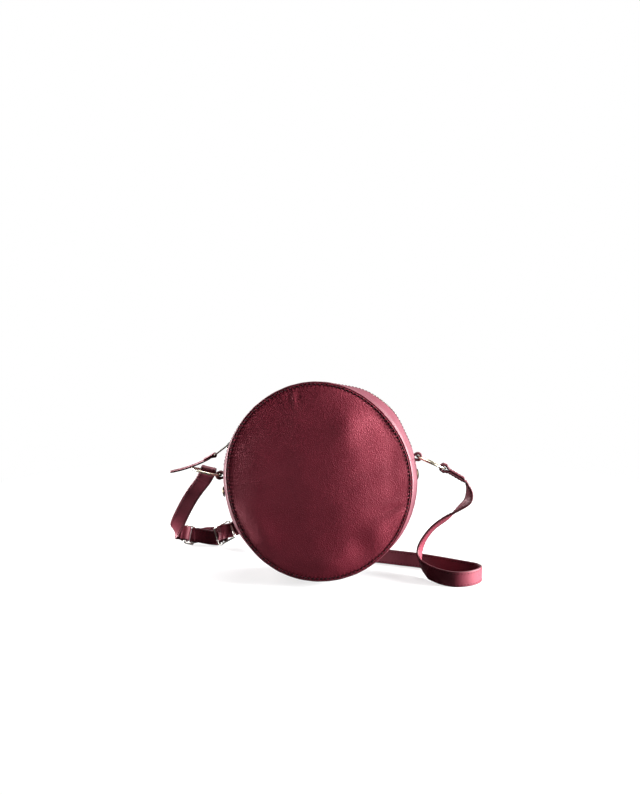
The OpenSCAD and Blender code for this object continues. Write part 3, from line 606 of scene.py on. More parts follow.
def thread_look(name, colour):
    """Waxed thread with a twist: a sine wave along x + y + z."""
    look = Look(name)
    x, y, z = look.split(look.place())
    twist = ((x + y + z) * 5200).sine() * 0.5 + 0.5
    base = look.mix(twist, tone(colour, 0.7), tone(colour, 1.2))
    return look.finish(Base_Color=base, Roughness=0.7, Normal=look.bump(twist, 0.5, 0.00015),
                       Specular_IOR_Level=0.15)


# Dents and swellings of the front panel: x, z, half width, half height, turn, depth in millimetres
PANEL_DENTS = [
    (18, 10, 34, 78, 0, 1.5), (26, 54, 17, 17, -20, 2.1), (64, 62, 7, 26, 42, -0.7), (72, 4, 6, 42, 2, -0.2),
    (46, -66, 13, 16, 30, -1.4), (12, -80, 13, 9, 0, 1.2), (60, -46, 9, 13, -20, 0.7),
    (-44, 10, 40, 60, 8, -0.8), (-61, -44, 14, 30, 34, 2.0), (-30, -68, 30, 9, -24, 0.5),
    (-70, 46, 9, 18, -38, -0.5), (-30, 86, 2.6, 9, 14, -0.6), (-25, 84, 2.0, 9, 8, 0.5),
    (-36, 82, 2.4, 9, 20, 0.45), (-20, 85, 2.2, 8, 6, -0.4), (76, -24, 13, 2.4, 22, -0.6),
    (78, -30, 12, 2.2, 26, 0.5), (75, -18, 12, 2.4, 18, 0.4),
]


def soft_noise(x, y, seed, scale, count=14):
    """A sum of plane waves with fixed directions: smooth, without a grid, and the same at each run."""
    rng = np.random.default_rng(seed)
    k = rng.normal(size=(count, 2)) / scale
    phase = rng.uniform(0, 2 * PI, count)
    return sum(np.sin(k[i, 0] * x + k[i, 1] * y + phase[i]) for i in range(count)) / math.sqrt(count / 2)


# How the seams and the crest stand out from a round, in millimetres: (cosine, sine) for 1, 2, 3 ... turns
FRONT_SHAPE = ((0.3, 0.7), (-3.1, -1.5), (0.5, 0.1), (0.1, -0.3), (0.1, 0.3))
BACK_SHAPE = ((0.0, 0.3), (-1.8, -0.6), (0.3, -0.4), (0.0, 0.3))
# How many stitches go round a panel, and how far its rim lies inside the seam's groove
STITCHES, RIM_IN = 144, 0.45


def waves(theta, shape):
    """The sum of a cos(k theta) + b sin(k theta) over the shape's pairs, k counted from 1."""
    return sum(a * np.cos(k * theta) + b * np.sin(k * theta) for k, (a, b) in enumerate(shape, 1))


def crest(theta):
    """The crest of the side wall: curves e^-(angle / width)^n for a broad swelling at the upper right (n = 4)
    and hollows left of the top and at the left (n = 2), with a slight swelling at the lower right."""
    bell = lambda at, width, n=2: np.exp(
        -np.abs((np.mod(theta - math.radians(at) + PI, 2 * PI) - PI) / math.radians(width)) ** n)
    return 3.5 * bell(53, 19, 4) - 1.0 * bell(106, 15) + 0.7 * bell(330, 20) - 1.2 * bell(192, 12)


def zip_rise(theta):
    """How far the zip itself stands out at the upper right, where its edge is in sight."""
    return 1.3 * np.exp(-((theta - math.radians(50)) / math.radians(16)) ** 4)


def seam_depth(theta, seed):
    """How far a seam wanders to the front or back of its plane, in millimetres."""
    return 0.5 * np.sin(2 * theta + seed) + 0.3 * np.sin(5 * theta + 2 * seed)


def pucker(theta, seed):
    """The gathering along a seam: a few irregular waves round the whole circle."""
    return (np.sin(46 * theta + 2.2 * np.sin(3 * theta + seed)) * (0.5 + 0.5 * np.sin(4 * theta + seed)) * 0.6
            + np.sin(23 * theta + seed + 1.7 * np.sin(5 * theta)) * 0.4)


def seam_round(side, theta):
    """The radius of a seam's groove."""
    return SEAM_R - 0.4 + waves(theta, FRONT_SHAPE if side < 0 else BACK_SHAPE)


def panel_height(side, theta, from_rim, q, x, z):
    """How far the panel stands over the seam's plane: crown * (1 - q^2)^0.92, less a roll into the groove,
    0.5 e^-(distance / 1.1), plus slow puckers that fade in 5 mm, a small swelling between each two stitches
    that fades in 1.5 mm, and the dents."""
    seed = 1.0 if side < 0 else 2.4
    height = CROWN * (1 - q ** 2) ** 0.92 - 0.5 * np.exp(-from_rim / 1.1)
    edge = 1 - np.exp(-from_rim / 1.2)
    height = height + 0.17 * pucker(theta, seed) * np.exp(-from_rim / 5) * edge
    swell = 0.45 * np.exp(-from_rim / 1.5) * (1 - np.exp(-from_rim / 0.5))
    height = height - swell * np.cos(STITCHES * theta)
    fade = 1 - np.exp(-from_rim / 5)
    if side < 0:
        for cx, cz, sx, sz, turn, deep in PANEL_DENTS:
            c, s = math.cos(math.radians(turn)), math.sin(math.radians(turn))
            u, v = (x - cx) * c + (z - cz) * s, (z - cz) * c - (x - cx) * s
            height = height + deep * np.exp(-(u / sx) ** 2 - (v / sz) ** 2) * fade
    return height + fade * (0.28 * soft_noise(x, z, 3 if side < 0 else 8, 17) + 0.10 * soft_noise(x, z, 5, 7))


def panel_points(side):
    """A panel's closed skin: out over its face to the rim, round the edge, and back under it."""
    from_rim = np.concatenate([
        np.linspace(SEAM_R - 1, 13, 34), np.linspace(12, 4.4, 11), np.linspace(4, 0, 14)])
    under = np.array([0.15, 1.2, 4.0, 12.0, 30.0, 60.0, SEAM_R - 2])
    theta = np.linspace(0, 2 * PI, STITCHES * 6, endpoint=False)
    rim = seam_round(side, theta) - RIM_IN
    rings = []
    for away, below in [(d, 0.0) for d in from_rim] + [(d, LEATHER) for d in under]:
        q = 1 - away / SEAM_R
        x, z = rim * q * np.cos(theta), rim * q * np.sin(theta)
        height = panel_height(side, theta, np.full_like(theta, away), q, x, z) - below
        y = side * (HALF + seam_depth(theta, 1.0 + (side > 0)) * q ** 2 + height)
        rings.append(np.stack([x, y, z], -1))
    return np.stack(rings)


def wall_radius(theta, a):
    """The side wall's radius at an angle and a distance a from the bag's middle, a > 0 to the front.
    The round section arc_x + sqrt(arc_r^2 - a^2) carries the three shapes by the parabola through them,
    rises to the turned ridge at each seam over a dip 2 mm from it, and has puckers near the seams and soft
    folds."""
    share = np.clip(a / HALF, -1, 1)
    stretch = (share * (share + 1) / 2 * waves(theta, FRONT_SHAPE) + (1 - share ** 2) * crest(theta)
               + share * (share - 1) / 2 * waves(theta, BACK_SHAPE))
    away = HALF - np.abs(a)
    seam = (1.5 * np.exp(-away / 5) - 1.0 * np.exp(-((away - 2.4) / 1.3) ** 2)
            + 0.45 * np.exp(-((away - 6.5) / 2.6) ** 2) - 1.4 * np.exp(-away / 0.6))
    near = np.exp(-away / 7) * (1 - np.exp(-away / 1.2))
    gather = 0.5 * pucker(theta, np.where(a > 0, 0.4, 1.9)) * near
    gather = gather - 0.16 * np.cos(STITCHES * theta) * np.exp(-((away - 1.6) / 1.1) ** 2)
    folds = 0.4 * soft_noise(theta * BAG_R / 2.4, a, 12, 9) + 0.28 * soft_noise(theta * BAG_R, a / 2, 15, 12)
    folds = folds * (1 - share ** 4) * np.clip((np.abs(a) - 6) / 8, 0, 1)
    return ARC_X + np.sqrt(np.maximum(ARC_R ** 2 - a ** 2, 1)) + stretch + seam + gather + folds


def wall_points(theta, a, depth=0.0):
    """Points of the side wall, a little further in by depth."""
    theta, a = np.meshgrid(theta, a, indexing="ij")
    r = wall_radius(theta, a) - depth
    wander = np.where(a > 0, -seam_depth(theta, 1.0), seam_depth(theta, 2.0)) * (np.abs(a) / HALF) ** 2
    return on_round(r, theta, -a + wander)


def seam_line(side, outward, turns, lift):
    """A ring of points beside a seam's groove, lifted off the panel's plane, and its angles."""
    theta = turn_angles(turns)
    y = side * (HALF + seam_depth(theta, 1.0 + (side > 0)) + lift)
    return on_round(seam_round(side, theta) + outward, theta, y), theta


def thicken(piece, thick):
    """A wall of the given thickness on the inside of a sheet."""
    solidify = piece.modifiers.new("wall", "SOLIDIFY")
    solidify.thickness = thick * MM
    solidify.offset = -1
    solidify.use_even_offset = False
    return piece


def colour_setting(name, description, hex_colour):
    return FloatVectorProperty(name=name, description=description, subtype="COLOR", size=4, min=0, max=1,
                               default=rgb(hex_colour))


def power_setting(name, description, default):
    return FloatProperty(name=name, description=description + ", in watts", min=0, max=200, default=default)


class RoundBagLeather(bpy.types.PropertyGroup):
    """Colours and finish of the leather, the cloth and the thread."""
    body: colour_setting("Body leather", "Colour of the panels and the side wall", "7e1f32")
    trim: colour_setting("Strap leather", "Colour of the strap, the tabs and the pull", "6e2232")
    thread: colour_setting("Thread", "Colour of the seams' thread", "2a0810")
    lining: colour_setting("Lining", "Colour of the lining cloth", "3a2428")
    tape: colour_setting("Zip tape", "Colour of the zip's cloth tapes", "33282a")
    roughness: FloatProperty(name="Roughness", description="Dullness of the body leather",
                             subtype="FACTOR", min=0.1, max=1, default=0.42)


class RoundBagMetal(bpy.types.PropertyGroup):
    """Colours of the metal parts."""
    ring: colour_setting("Rings", "Plating of the rings", "d9cfb8")
    nickel: colour_setting("Adjuster", "Plating of the strap's slider and ring", "d6d3cc")
    rivet: colour_setting("Rivets", "Plating of the rivets", "70604c")
    gun: colour_setting("Zip", "Burnished metal of the zip", "6f6b62")


class RoundBagSewing(bpy.types.PropertyGroup):
    """Sizes of the sewing."""
    strap_pitch: FloatProperty(name="Strap pitch", description="Distance between stitches along the strap",
                               unit="LENGTH", min=0.002, max=0.006, default=0.0034)
    thread_d: FloatProperty(name="Thread", description="Diameter of the thread",
                            unit="LENGTH", min=0.0003, max=0.0015, default=0.0008)


class RoundBagStage(bpy.types.PropertyGroup):
    """Camera and lamps."""
    lens: FloatProperty(name="Lens", description="Focal length on a 36 mm frame",
                        min=20, max=200, default=57.7)
    key: power_setting("Key lamp", "Power of the large lamp at the right", 150.0)
    sheen: power_setting("Sheen lamp", "Power of the lamp at the front right", 6.0)
    rim: power_setting("Rim lamps", "Power of the lamps behind and beside the bag", 20.0)
    fill: FloatProperty(name="Sky", description="Strength of the even light from all round",
                        min=0, max=3, default=0.02)


# Painted shade and sheen: shares of the body's red, green and blue for the side wall, which the key lamp hits
# straight on, and for the piping. Both are the body's leather, with red cut for shade and green raised for a
# whitish sheen
WALL_SHADE_AND_SHEEN, PIPING_SHADE_AND_SHEEN = (0.46, 1.15, 0.85, 1), (0.6, 1.2, 0.9, 1)
LOOKS = {}


def tinted(colour, shares):
    return tuple(c * k for c, k in zip(colour, shares))


def looks():
    """The shared materials, made once from the scene's settings."""
    if LOOKS:
        return LOOKS
    scene = bpy.context.scene
    skin, metal = scene.round_bag_leather, scene.round_bag_metal
    LOOKS.update(
        body=leather_look("pebbled_leather", tuple(skin.body), 1.0, skin.roughness),
        # Painted shade and sheen: the side wall is the body's leather with its red cut and its green raised
        wall=leather_look("side_leather_shade_and_sheen", tinted(skin.body, WALL_SHADE_AND_SHEEN), 0.6, skin.roughness + 0.06, False,
                          0.7, 0.1),
        strap=leather_look("strap_leather", tuple(skin.trim), 0.7, 0.45, True, 0.6, 0.25),
        # Painted shade and sheen: the piping is the body's leather with its red cut and its green raised
        piping=leather_look("turned_seam_leather_shade_and_sheen", tinted(skin.body, PIPING_SHADE_AND_SHEEN), 0.5, 0.42, False, 0.5,
                            0.15),
        ring=metal_look("pale_gold_plate", tuple(metal.ring), 0.3),
        nickel=metal_look("nickel_plate", tuple(metal.nickel), 0.34),
        rivet=metal_look("brass_cap", tuple(metal.rivet), 0.36),
        gun=metal_look("burnished_metal", tuple(metal.gun), 0.34, 0.8),
        teeth=metal_look("zip_teeth_metal", tone(metal.gun, 0.8), 0.38, 0.8),
        lining=cloth_look("lining_cloth", tuple(skin.lining), 5200),
        tape=cloth_look("zip_tape_cloth", tuple(skin.tape), 4200),
        # Painted shade: the groove's filling is the body colour darkened to 0.8
        groove=thread_look("seam_groove_painted_shade", tone(skin.body, 0.8)),
        thread=thread_look("dark_thread", tuple(skin.thread)),
        strap_thread=thread_look("strap_thread", tone(skin.trim, 0.26)),
    )
    return LOOKS


# The lining: its cloth's thickness, how far it lies inside the leather, and its panels' width as a share
CLOTH, CLOTH_GAP, CLOTH_SHARE = LINING * 0.8, 0.4, 0.985


class ROUNDBAG_OT_panels(bpy.types.Operator):
    """Builds the front and the back panel with their puckers, dents and rolled rims."""
    bl_idname = "round_bag.panels"
    bl_label = "Panels"

    def execute(self, context):
        for name, side in (("front_panel", -1), ("back_panel", 1)):
            piece = shell(name + "_leather", settle(in_world(panel_points(side))), flip=side > 0)
            dress(piece, "body", "bag", [name])
            q = panel_points(side)[::-1][:7, ::4] * [CLOTH_SHARE, 1, CLOTH_SHARE] - AXIS * side * CLOTH_GAP
            q = in_world(q)
            q[..., 2] = np.maximum(q[..., 2], LEATHER + FIT)
            cloth = thicken(shell("lining_" + name[:-6] + "_cloth", q, flip=side > 0, poles=1), CLOTH)
            dress(cloth, "lining", "bag", ["lining_" + name[:-6]])
        return {"FINISHED"}


# The side wall's edges: where leather and lining end beside the seams, where the lining ends beside the zip,
# the roll of the strips' edges at the zip, as its depth and how fast it fades, and how the end patches sit
WALL_EDGE, CLOTH_EDGE, CLOTH_ZIP_EDGE = HALF - 0.5, HALF - 2.5, 14.0
HEM, HEM_FADE = 0.7, 0.8
PATCH_GAP, PATCH_IN = 0.1, 0.25


def wall_part(name, node, turns, reach, counts, depth=0.0, hem=0.0):
    """A part of the side wall between two angles and two distances from the middle, as leather or as cloth. A
    hem rolls the first edge inwards: the radius falls by hem * e^-(distance / 0.8)."""
    share = (1 - np.cos(np.linspace(0, PI, counts[1]))) / 2 * 0.7 + np.linspace(0, 1, counts[1]) * 0.3
    a = reach[0] + (reach[1] - reach[0]) * share
    p = wall_points(np.linspace(*turns, counts[0]), a, depth)
    fall = hem * np.exp(-np.abs(a - reach[0]) / HEM_FADE)
    p = settle(in_world(p - unit(p * [1, 0, 1]) * fall[None, :, None]))
    thick, look, slot = (CLOTH, "lining", "lining") if "cloth" in name else (LEATHER, "wall", "leather")
    dress(thicken(grid(name, p, flip=reach[1] < reach[0]), thick), look, "bag", [node])


class ROUNDBAG_OT_side_wall(bpy.types.Operator):
    """Builds the bottom side wall, the two zip strips, the zip's end patches and their lining."""
    bl_idname = "round_bag.side_wall"
    bl_label = "Side wall"

    def execute(self, context):
        bottom, top = (LEFT_TAB, 2 * PI + RIGHT_TAB), (RIGHT_TAB, LEFT_TAB)
        slot, sides = ZIP_SLOT / 2, (("front", 1), ("back", -1))
        wall_part("bottom_gusset_leather", "bottom_gusset", bottom, (-WALL_EDGE, WALL_EDGE), (470, 98))
        wall_part("lining_gusset_cloth", "lining_gusset", bottom, (-CLOTH_EDGE, CLOTH_EDGE), (160, 40),
                  LEATHER + CLOTH_GAP)
        for end, side in sides:
            wall_part(f"zip_gusset_{end}_leather", f"zip_gusset_{end}", top, (side * slot, side * WALL_EDGE),
                      (430, 66), 0, HEM)
        for end, side in sides:
            wall_part(f"lining_top_cloth_{end}", "lining_top", top,
                      (side * CLOTH_ZIP_EDGE, side * CLOTH_EDGE), (160, 24), LEATHER + CLOTH_GAP)
        for end, turns in (("right", (top[0], ZIP_START + ROLL)), ("left", (PI - ZIP_START + ROLL, top[1]))):
            wall_part(f"zip_end_{end}_leather", f"zip_end_{end}", turns, (PATCH_GAP - slot, slot - PATCH_GAP),
                      (24, 20), PATCH_IN)
        return {"FINISHED"}


# The turned leather and the filled groove beside a panel: how far they lie outside the groove and off the
# panel's plane, their radius and their look. The filling's look is the body colour darkened, painted shade of
# the groove
SEAM_TUBES = (("_leather", 1.5, -0.9, 0.95, "piping"), ("_groove", -0.1, -0.75, 1.0, "groove"))
SEAM_POINTS, SEAM_SIDES = 720, 14
# Seam stitches: how far outside the groove and off the plane, length, and radius as a share of the thread
SEAM_STITCH_OUT, SEAM_STITCH_LIFT, SEAM_STITCH, SEAM_STITCH_SHARE = -0.35, 0.3, 2.8, 0.9
# Zip stitches: their distance from the slot, their lift, length, and radius as a share of the thread
ZIP_STITCH_OUT, ZIP_STITCH_LIFT, ZIP_STITCH, ZIP_STITCH_SHARE = 2.2, 0.12, 2.3, 0.45


class ROUNDBAG_OT_seams(bpy.types.Operator):
    """Builds the turned seam ridges and the stitches round both panels and along the zip."""
    bl_idname = "round_bag.seams"
    bl_label = "Seams"

    def execute(self, context):
        sewing = context.scene.round_bag_sewing
        thread_d = sewing.thread_d / MM
        a = turn_angles(SEAM_SIDES)[None, :, None]
        for name, side in (("front_welt", -1), ("back_welt", 1)):
            for part, outward, lift, radius, look in SEAM_TUBES:
                line, theta = seam_line(side, outward, SEAM_POINTS, lift)
                r = radius * (1 + 0.05 * np.sin(31 * theta) + 0.05 * np.sin(47 * theta + 1))[:, None, None]
                out = unit(line * [1, 0, 1])[:, None]
                rings = line[:, None] + r * (np.cos(a) * out + np.sin(a) * AXIS * side)
                piece = grid(name + part, settle(in_world(rings)), close_u=True, close_v=True, flip=side < 0)
                dress(piece, look, "bag", [name] if part == "_leather" else ())
            p = settle(in_world(seam_line(side, SEAM_STITCH_OUT, STITCHES, SEAM_STITCH_LIFT)[0]))
            way = unit(np.roll(p, -1, 0) - np.roll(p, 1, 0))
            up = np.broadcast_to(world_way(AXIS * side), p.shape)
            seam = stitches(name + "_stitches", p, way, up, SEAM_STITCH, thread_d * SEAM_STITCH_SHARE)
            dress(seam, "thread", "bag")
        count = int((PI - 2 * ZIP_START) * BAG_R / (sewing.strap_pitch / MM))
        theta = np.linspace(ZIP_START, PI - ZIP_START, count) + ROLL
        for end, side in (("front", 1), ("back", -1)):
            a = np.full(count, side * (ZIP_SLOT / 2 + ZIP_STITCH_OUT))
            p = in_world(on_round(wall_radius(theta, a) + ZIP_STITCH_LIFT, theta, -a))
            way, up = unit(np.gradient(p, axis=0)), world_way(on_round(1, theta, 0))
            seam = stitches("zip_stitches_" + end, p, way, up, ZIP_STITCH, thread_d * ZIP_STITCH_SHARE)
            dress(seam, "thread", "bag")
        return {"FINISHED"}


# The tape's corded edge beside the teeth, and how far it runs on past the zip's ends, as an angle
CORD_AT, CORD_END, TAPE_OVERRUN = 1.9, 3.2, 0.03
# A tooth, a top stop and the box from the tape's edge inwards: place across the zip, half length, half height
TOOTH_RINGS = ((-3.0, 0.55, 0.8), (-2.8, 0.87, 1.2), (-1.8, 0.87, 1.2), (-1.3, 0.46, 1.05), (0.1, 0.46, 1.0),
               (0.5, 0.66, 1.0), (1.0, 0.5, 0.7))
STOP_RINGS = ((-2.6, 0.9, 0.9), (-2.4, 1.2, 1.2), (-1.5, 1.2, 1.2), (-1.3, 0.9, 0.9))
BOX_RINGS = ((-3.0, 0.45, 0.9), (-2.8, 0.67, 1.2), (2.8, 0.67, 1.2), (3.0, 0.45, 0.9))
STOP_IN, BOX_IN = 0.025, 0.012


class ROUNDBAG_OT_zip(bpy.types.Operator):
    """Builds the zip tapes with their corded edges and finishes the teeth and stops."""
    bl_idname = "round_bag.zip"
    bl_label = "Zip"

    def execute(self, context):
        for name, side in (("zip_tape_front", 1), ("zip_tape_back", -1)):
            theta = np.linspace(ZIP_START - TAPE_OVERRUN, PI - ZIP_START + TAPE_OVERRUN, 260) + ROLL
            cord, flat = np.linspace(CORD_AT, CORD_END, 8), np.linspace(CORD_END, CORD_AT + TAPE_W, 18)[1:]
            theta, a = np.meshgrid(theta, np.concatenate([cord, flat]) * side, indexing="ij")
            away = np.abs(a) - CORD_AT
            r = ARC_X + np.sqrt(ARC_R ** 2 - a ** 2) + crest(theta) - TAPE_IN
            r = r + zip_rise(theta) * np.exp(-(away / 1.6) ** 2) + 0.12 * np.cos(away * 2.4) * (away < 1.4)
            piece = thicken(grid(name + "_cloth", in_world(on_round(r, theta, -a)), flip=side < 0), TAPE_T)
            dress(piece, "tape", "bag", [name])
        step = TOOTH_PITCH / CHAIN_R
        count = int((SLIDER_AT - step / 2 - ZIP_START - step) / step)
        for name, side, offset in (("zip_teeth_front", 1, 0), ("zip_teeth_back", -1, 0.5)):
            at = ZIP_START + ROLL + (np.arange(count) + 1 + offset) * step
            dress(small_blocks(name + "_metal", at, side, TOOTH_RINGS), "teeth", "bag", [name])
        last, first = np.array([PI - ZIP_START + ROLL - STOP_IN]), np.array([ZIP_START + ROLL + BOX_IN])
        ends = [small_blocks("stop", last, side, STOP_RINGS) for side in (1, -1)]
        ends.append(small_blocks("stop", first, 1, BOX_RINGS))
        dress(join("zip_stops_metal", ends), "teeth", "bag", ["zip_stops"])
        return {"FINISHED"}


def rounded(v, power):
    """v^power with v's sign, which turns a sine or cosine towards a rectangle's."""
    return np.sign(v) * np.abs(v) ** power


def small_blocks(name, at, side, rings):
    """Like blocks on the zip, one at each angle, in one mesh. Each ring has eight points on a rounded
    rectangle (cos, sin)^0.6 of the ring's half length and half height."""
    n = 8
    a = turn_angles(n) + PI / n
    rings = np.array(rings)
    along, high = rings[:, 1:2] * rounded(np.cos(a), 0.6), rings[:, 2:] * rounded(np.sin(a), 0.6)
    r = CHAIN_R + (crest(at) + zip_rise(at))[:, None, None] + high[None]
    p = on_round(r, at[:, None, None] + along[None] / CHAIN_R, side * rings[:, :1])
    index = np.arange(len(rings) * n).reshape(-1, n)
    ends = np.array([[0, 1, 2, 3], [0, 3, 4, 7], [4, 5, 6, 7]])
    cells = quads(np.hstack([index, index[:, :1]])).reshape(-1, 4)
    cells = np.vstack([cells, ends, (ends + index[-1, 0])[:, ::-1]])
    return mesh_object(name, in_world(p).reshape(-1, 3), copies(cells[:, ::-1] if side > 0 else cells,
                                                                index.size, len(at)))


def rounded_plate(name, outline, low, high, bevel, place):
    """A plate from a closed outline (n, 2) with its edges rounded over: rings of the outline drawn in by
    1 - sin and moved in from the faces by 1 - cos over the bevel, and closed in its middle on both sides."""
    way = unit(outline - outline.mean(0))
    rows = [(bevel * (1 - math.sin(a)), bevel * (1 - math.cos(a))) for a in np.linspace(0, PI / 2, 5)]
    rows = [(drawn, low + moved) for drawn, moved in rows] + [
        (drawn, high - moved) for drawn, moved in rows[::-1]]
    ring = lambda drawn, h: np.column_stack([outline - way * drawn, np.full(len(outline), h)])
    rings = np.stack([ring(*row) for row in rows])
    return grid(name, place(rings), close_v=True, caps=True)


def wire_loop(x_from, x_to, side, r, n, step):
    """A closed line (x, z) round a rectangle with corners of radius r and n points each, with points
    about the step apart between them."""
    line, dense = [], []
    for x, z, start in ((x_to - r, side - r, 0), (x_from + r, side - r, 90), (x_from + r, r - side, 180),
                        (x_to - r, r - side, 270)):
        a = np.radians(np.linspace(start, start + 90, n))
        line.append(np.stack([x + r * np.cos(a), z + r * np.sin(a)], -1))
    line = np.vstack(line)
    for here, there in zip(line, np.roll(line, -1, 0)):
        steps = max(1, int(np.linalg.norm(there - here) / step))
        dense += [here + (there - here) * s / steps for s in range(steps)]
    return np.array(dense)


# The slider: half length and half width of its plates, the lower plate's share and its faces below the upper
# one, the outline of a side lip, and the crown's reach, foot, rise and wire
SLIDER_L, SLIDER_W = 5.6, 4.1
UNDER_SHARE, UNDER_LOW, UNDER_HIGH = 0.94, 4.2, 3.3
LIP = np.array([(-SLIDER_L * 0.8, SLIDER_W - 0.55), (SLIDER_L * 0.55, SLIDER_W - 0.35),
                (SLIDER_L * 0.6, SLIDER_W - 0.05), (-SLIDER_L * 0.8, SLIDER_W - 0.1)])
CROWN_REACH, CROWN_FOOT, CROWN_RISE, CROWN_R = 3.0, 0.9, 1.75, 0.55
# The puller's half width and corner, and the pull: its thickness's share and its stitches' inset and size
BAIL_HALF, BAIL_CORNER = 3.36, 1.3
PULL_SWELL, PULL_INSET, PULL_STITCH, PULL_STITCH_R = 1.2, 1.3, 1.9, 0.28


def on_slider(q):
    """Points (along, side, radius) on the zip: the angle is the slider's place less along / radius."""
    return in_world(on_round(q[..., 2], SLIDER_AT + ROLL - q[..., 0] / BAG_R, -q[..., 1]))


class ROUNDBAG_OT_zip_slider(bpy.types.Operator):
    """Builds the zip slider, its wire puller and the leather pull."""
    bl_idname = "round_bag.zip_slider"
    bl_label = "Zip slider and pull"

    def execute(self, context):
        top_r = BAG_R - PLATE_IN
        a = turn_angles(48)
        along = rounded(np.cos(a), 0.6) * SLIDER_L
        width = SLIDER_W * (0.78 + 0.22 * np.cos((along / SLIDER_L - 0.45) * 1.5))
        outline = np.stack([along, rounded(np.sin(a), 0.55) * width], -1)
        parts = [rounded_plate("slider_top", outline, top_r, top_r + PLATE_T, 0.4, on_slider),
                 rounded_plate("slider_under", outline * UNDER_SHARE, top_r - UNDER_LOW, top_r - UNDER_HIGH,
                               0.35, on_slider)]
        for s in (-1, 1):
            lip = (LIP * [1, s])[::s]
            parts.append(rounded_plate("slider_lip", lip, top_r - 0.75, top_r + 0.3, 0.1, on_slider))
        t = np.linspace(-0.1, PI + 0.1, 25)
        crown = np.stack([np.cos(t) * CROWN_REACH, 0 * t, top_r + CROWN_FOOT + np.sin(t) * CROWN_RISE], -1)
        parts.append(tube("slider_crown", on_slider(crown), CROWN_R, n=10, up=(0.01, 1, 0.01)))
        dress(join("zip_slider_metal", parts), "gun", "zip_slider_body", ["zip_slider"])

        way = polar(1, BAIL_ANGLE)
        line = wire_loop(0, BAIL_L, BAIL_HALF, BAIL_CORNER, 7, 1.0)
        p = PIN + line[:, :1] * way + line[:, 1:] * AXIS
        bail = tube("zip_puller_wire", in_world(p), BAIL_WIRE / 2, closed=True, n=14,
                    up=world_way(np.cross(way, AXIS)))
        dress(bail, "gun", "zip_puller_body", ["zip_puller"])

        eye = BAIL_WIRE / 2 + FIT / 2 + PULL_T / 2
        near, drop = eye * 0.9, math.sqrt(PULL_CURVE ** 2 - PULL_L ** 2 / 4)
        bow = lambda x, r: np.stack([x, np.sqrt(r ** 2 - (x - PULL_L / 2) ** 2) - drop], -1)
        a = np.linspace(PI / 2, PI * 1.5, 16)
        front = bow(np.linspace(PULL_L, near, 60), PULL_CURVE)
        fold = np.stack([np.cos(a), np.sin(a)], -1) * eye
        back = bow(np.linspace(near, PULL_L / 4, 12), PULL_CURVE - PULL_T)
        path = np.vstack([front[:-3], fold, back[2:]])
        p = smooth_path(in_world(BAR + turned(path, PULL_ANGLE))[::2], 3)
        roll = polar(1, PULL_ANGLE + PI / 2) * math.sin(PULL_ROLL) + AXIS * math.cos(PULL_ROLL)
        p, w, at = even_path(p, np.tile(world_way(roll), (len(p), 1)), 0.7)
        way, across, out = frames(p, w)
        tip, neck = np.clip(at / 4, 0, 1) ** 0.5, np.clip((at - PULL_L + 9) / 5, 0, 1)
        scale = (0.55 + 0.45 * tip) * (1 - 0.32 * neck)
        pull = carried("pull_leather", p, across, out, PULL_W, PULL_T * PULL_SWELL, scale)
        dress(pull, "strap", "pull_body", ["pull_tab"])
        line = np.arange(6, len(p) - 60, 4)
        rows = two_rows(p[line] - out[line] * PULL_T * 0.53, way[line], across[line] * scale[line, None],
                        -out[line], PULL_W / 2 - PULL_INSET)
        seam = stitches("pull_stitches", *rows, PULL_STITCH, PULL_STITCH_R)
        dress(seam, "strap_thread", "pull_body")
        return {"FINISHED"}


def fold_path(eye, thick, meet, length):
    """The middle line of a strip folded round an eye: from the far end of one ply, round the eye, to the far
    end of the other. The plies leave the circle on its tangents and run side by side."""
    lean = math.acos(min(0.99, eye / meet))
    a = np.linspace(lean, 2 * PI - lean, 33)
    ring = np.stack([np.cos(a), np.sin(a)], -1) * (eye + thick / 2)
    ply = thick / 2
    upper = np.array([[length, ply], [length * 0.7 + meet * 0.3, ply], [meet + thick * 1.2, ply],
                      [meet + thick * 0.4, ply * 1.25]])
    return np.vstack([upper, ring, upper[::-1] * [1, -1]])


# A tab: its plies' length inside the bag's round, its tail's angles behind the seam, its thickness's share,
# and its stitches: how far they reach from the eye, their inset, length and radius
TAB_PLY, TAB_TAIL, TAB_SWELL = 3.2, (0.035, 0.24), 1.35
TAB_REACH, TAB_INSET, TAB_STITCH, TAB_STITCH_R = 9.5, 1.6, 2.2, 0.34
# A rivet from the top of its cap to the end of its post: radius and height over the bag's round
RIVET_PROFILE = np.array([
    [0, 1.6], [1.4, 1.55], [2.8, 1.38], [4.0, 1.05], [4.9, 0.62], [5.35, 0.28], [5.45, 0.08], [5.4, -0.1],
    [5.1, -0.2], [1.5, -0.2], [1.45, -7.6], [0, -7.6]])


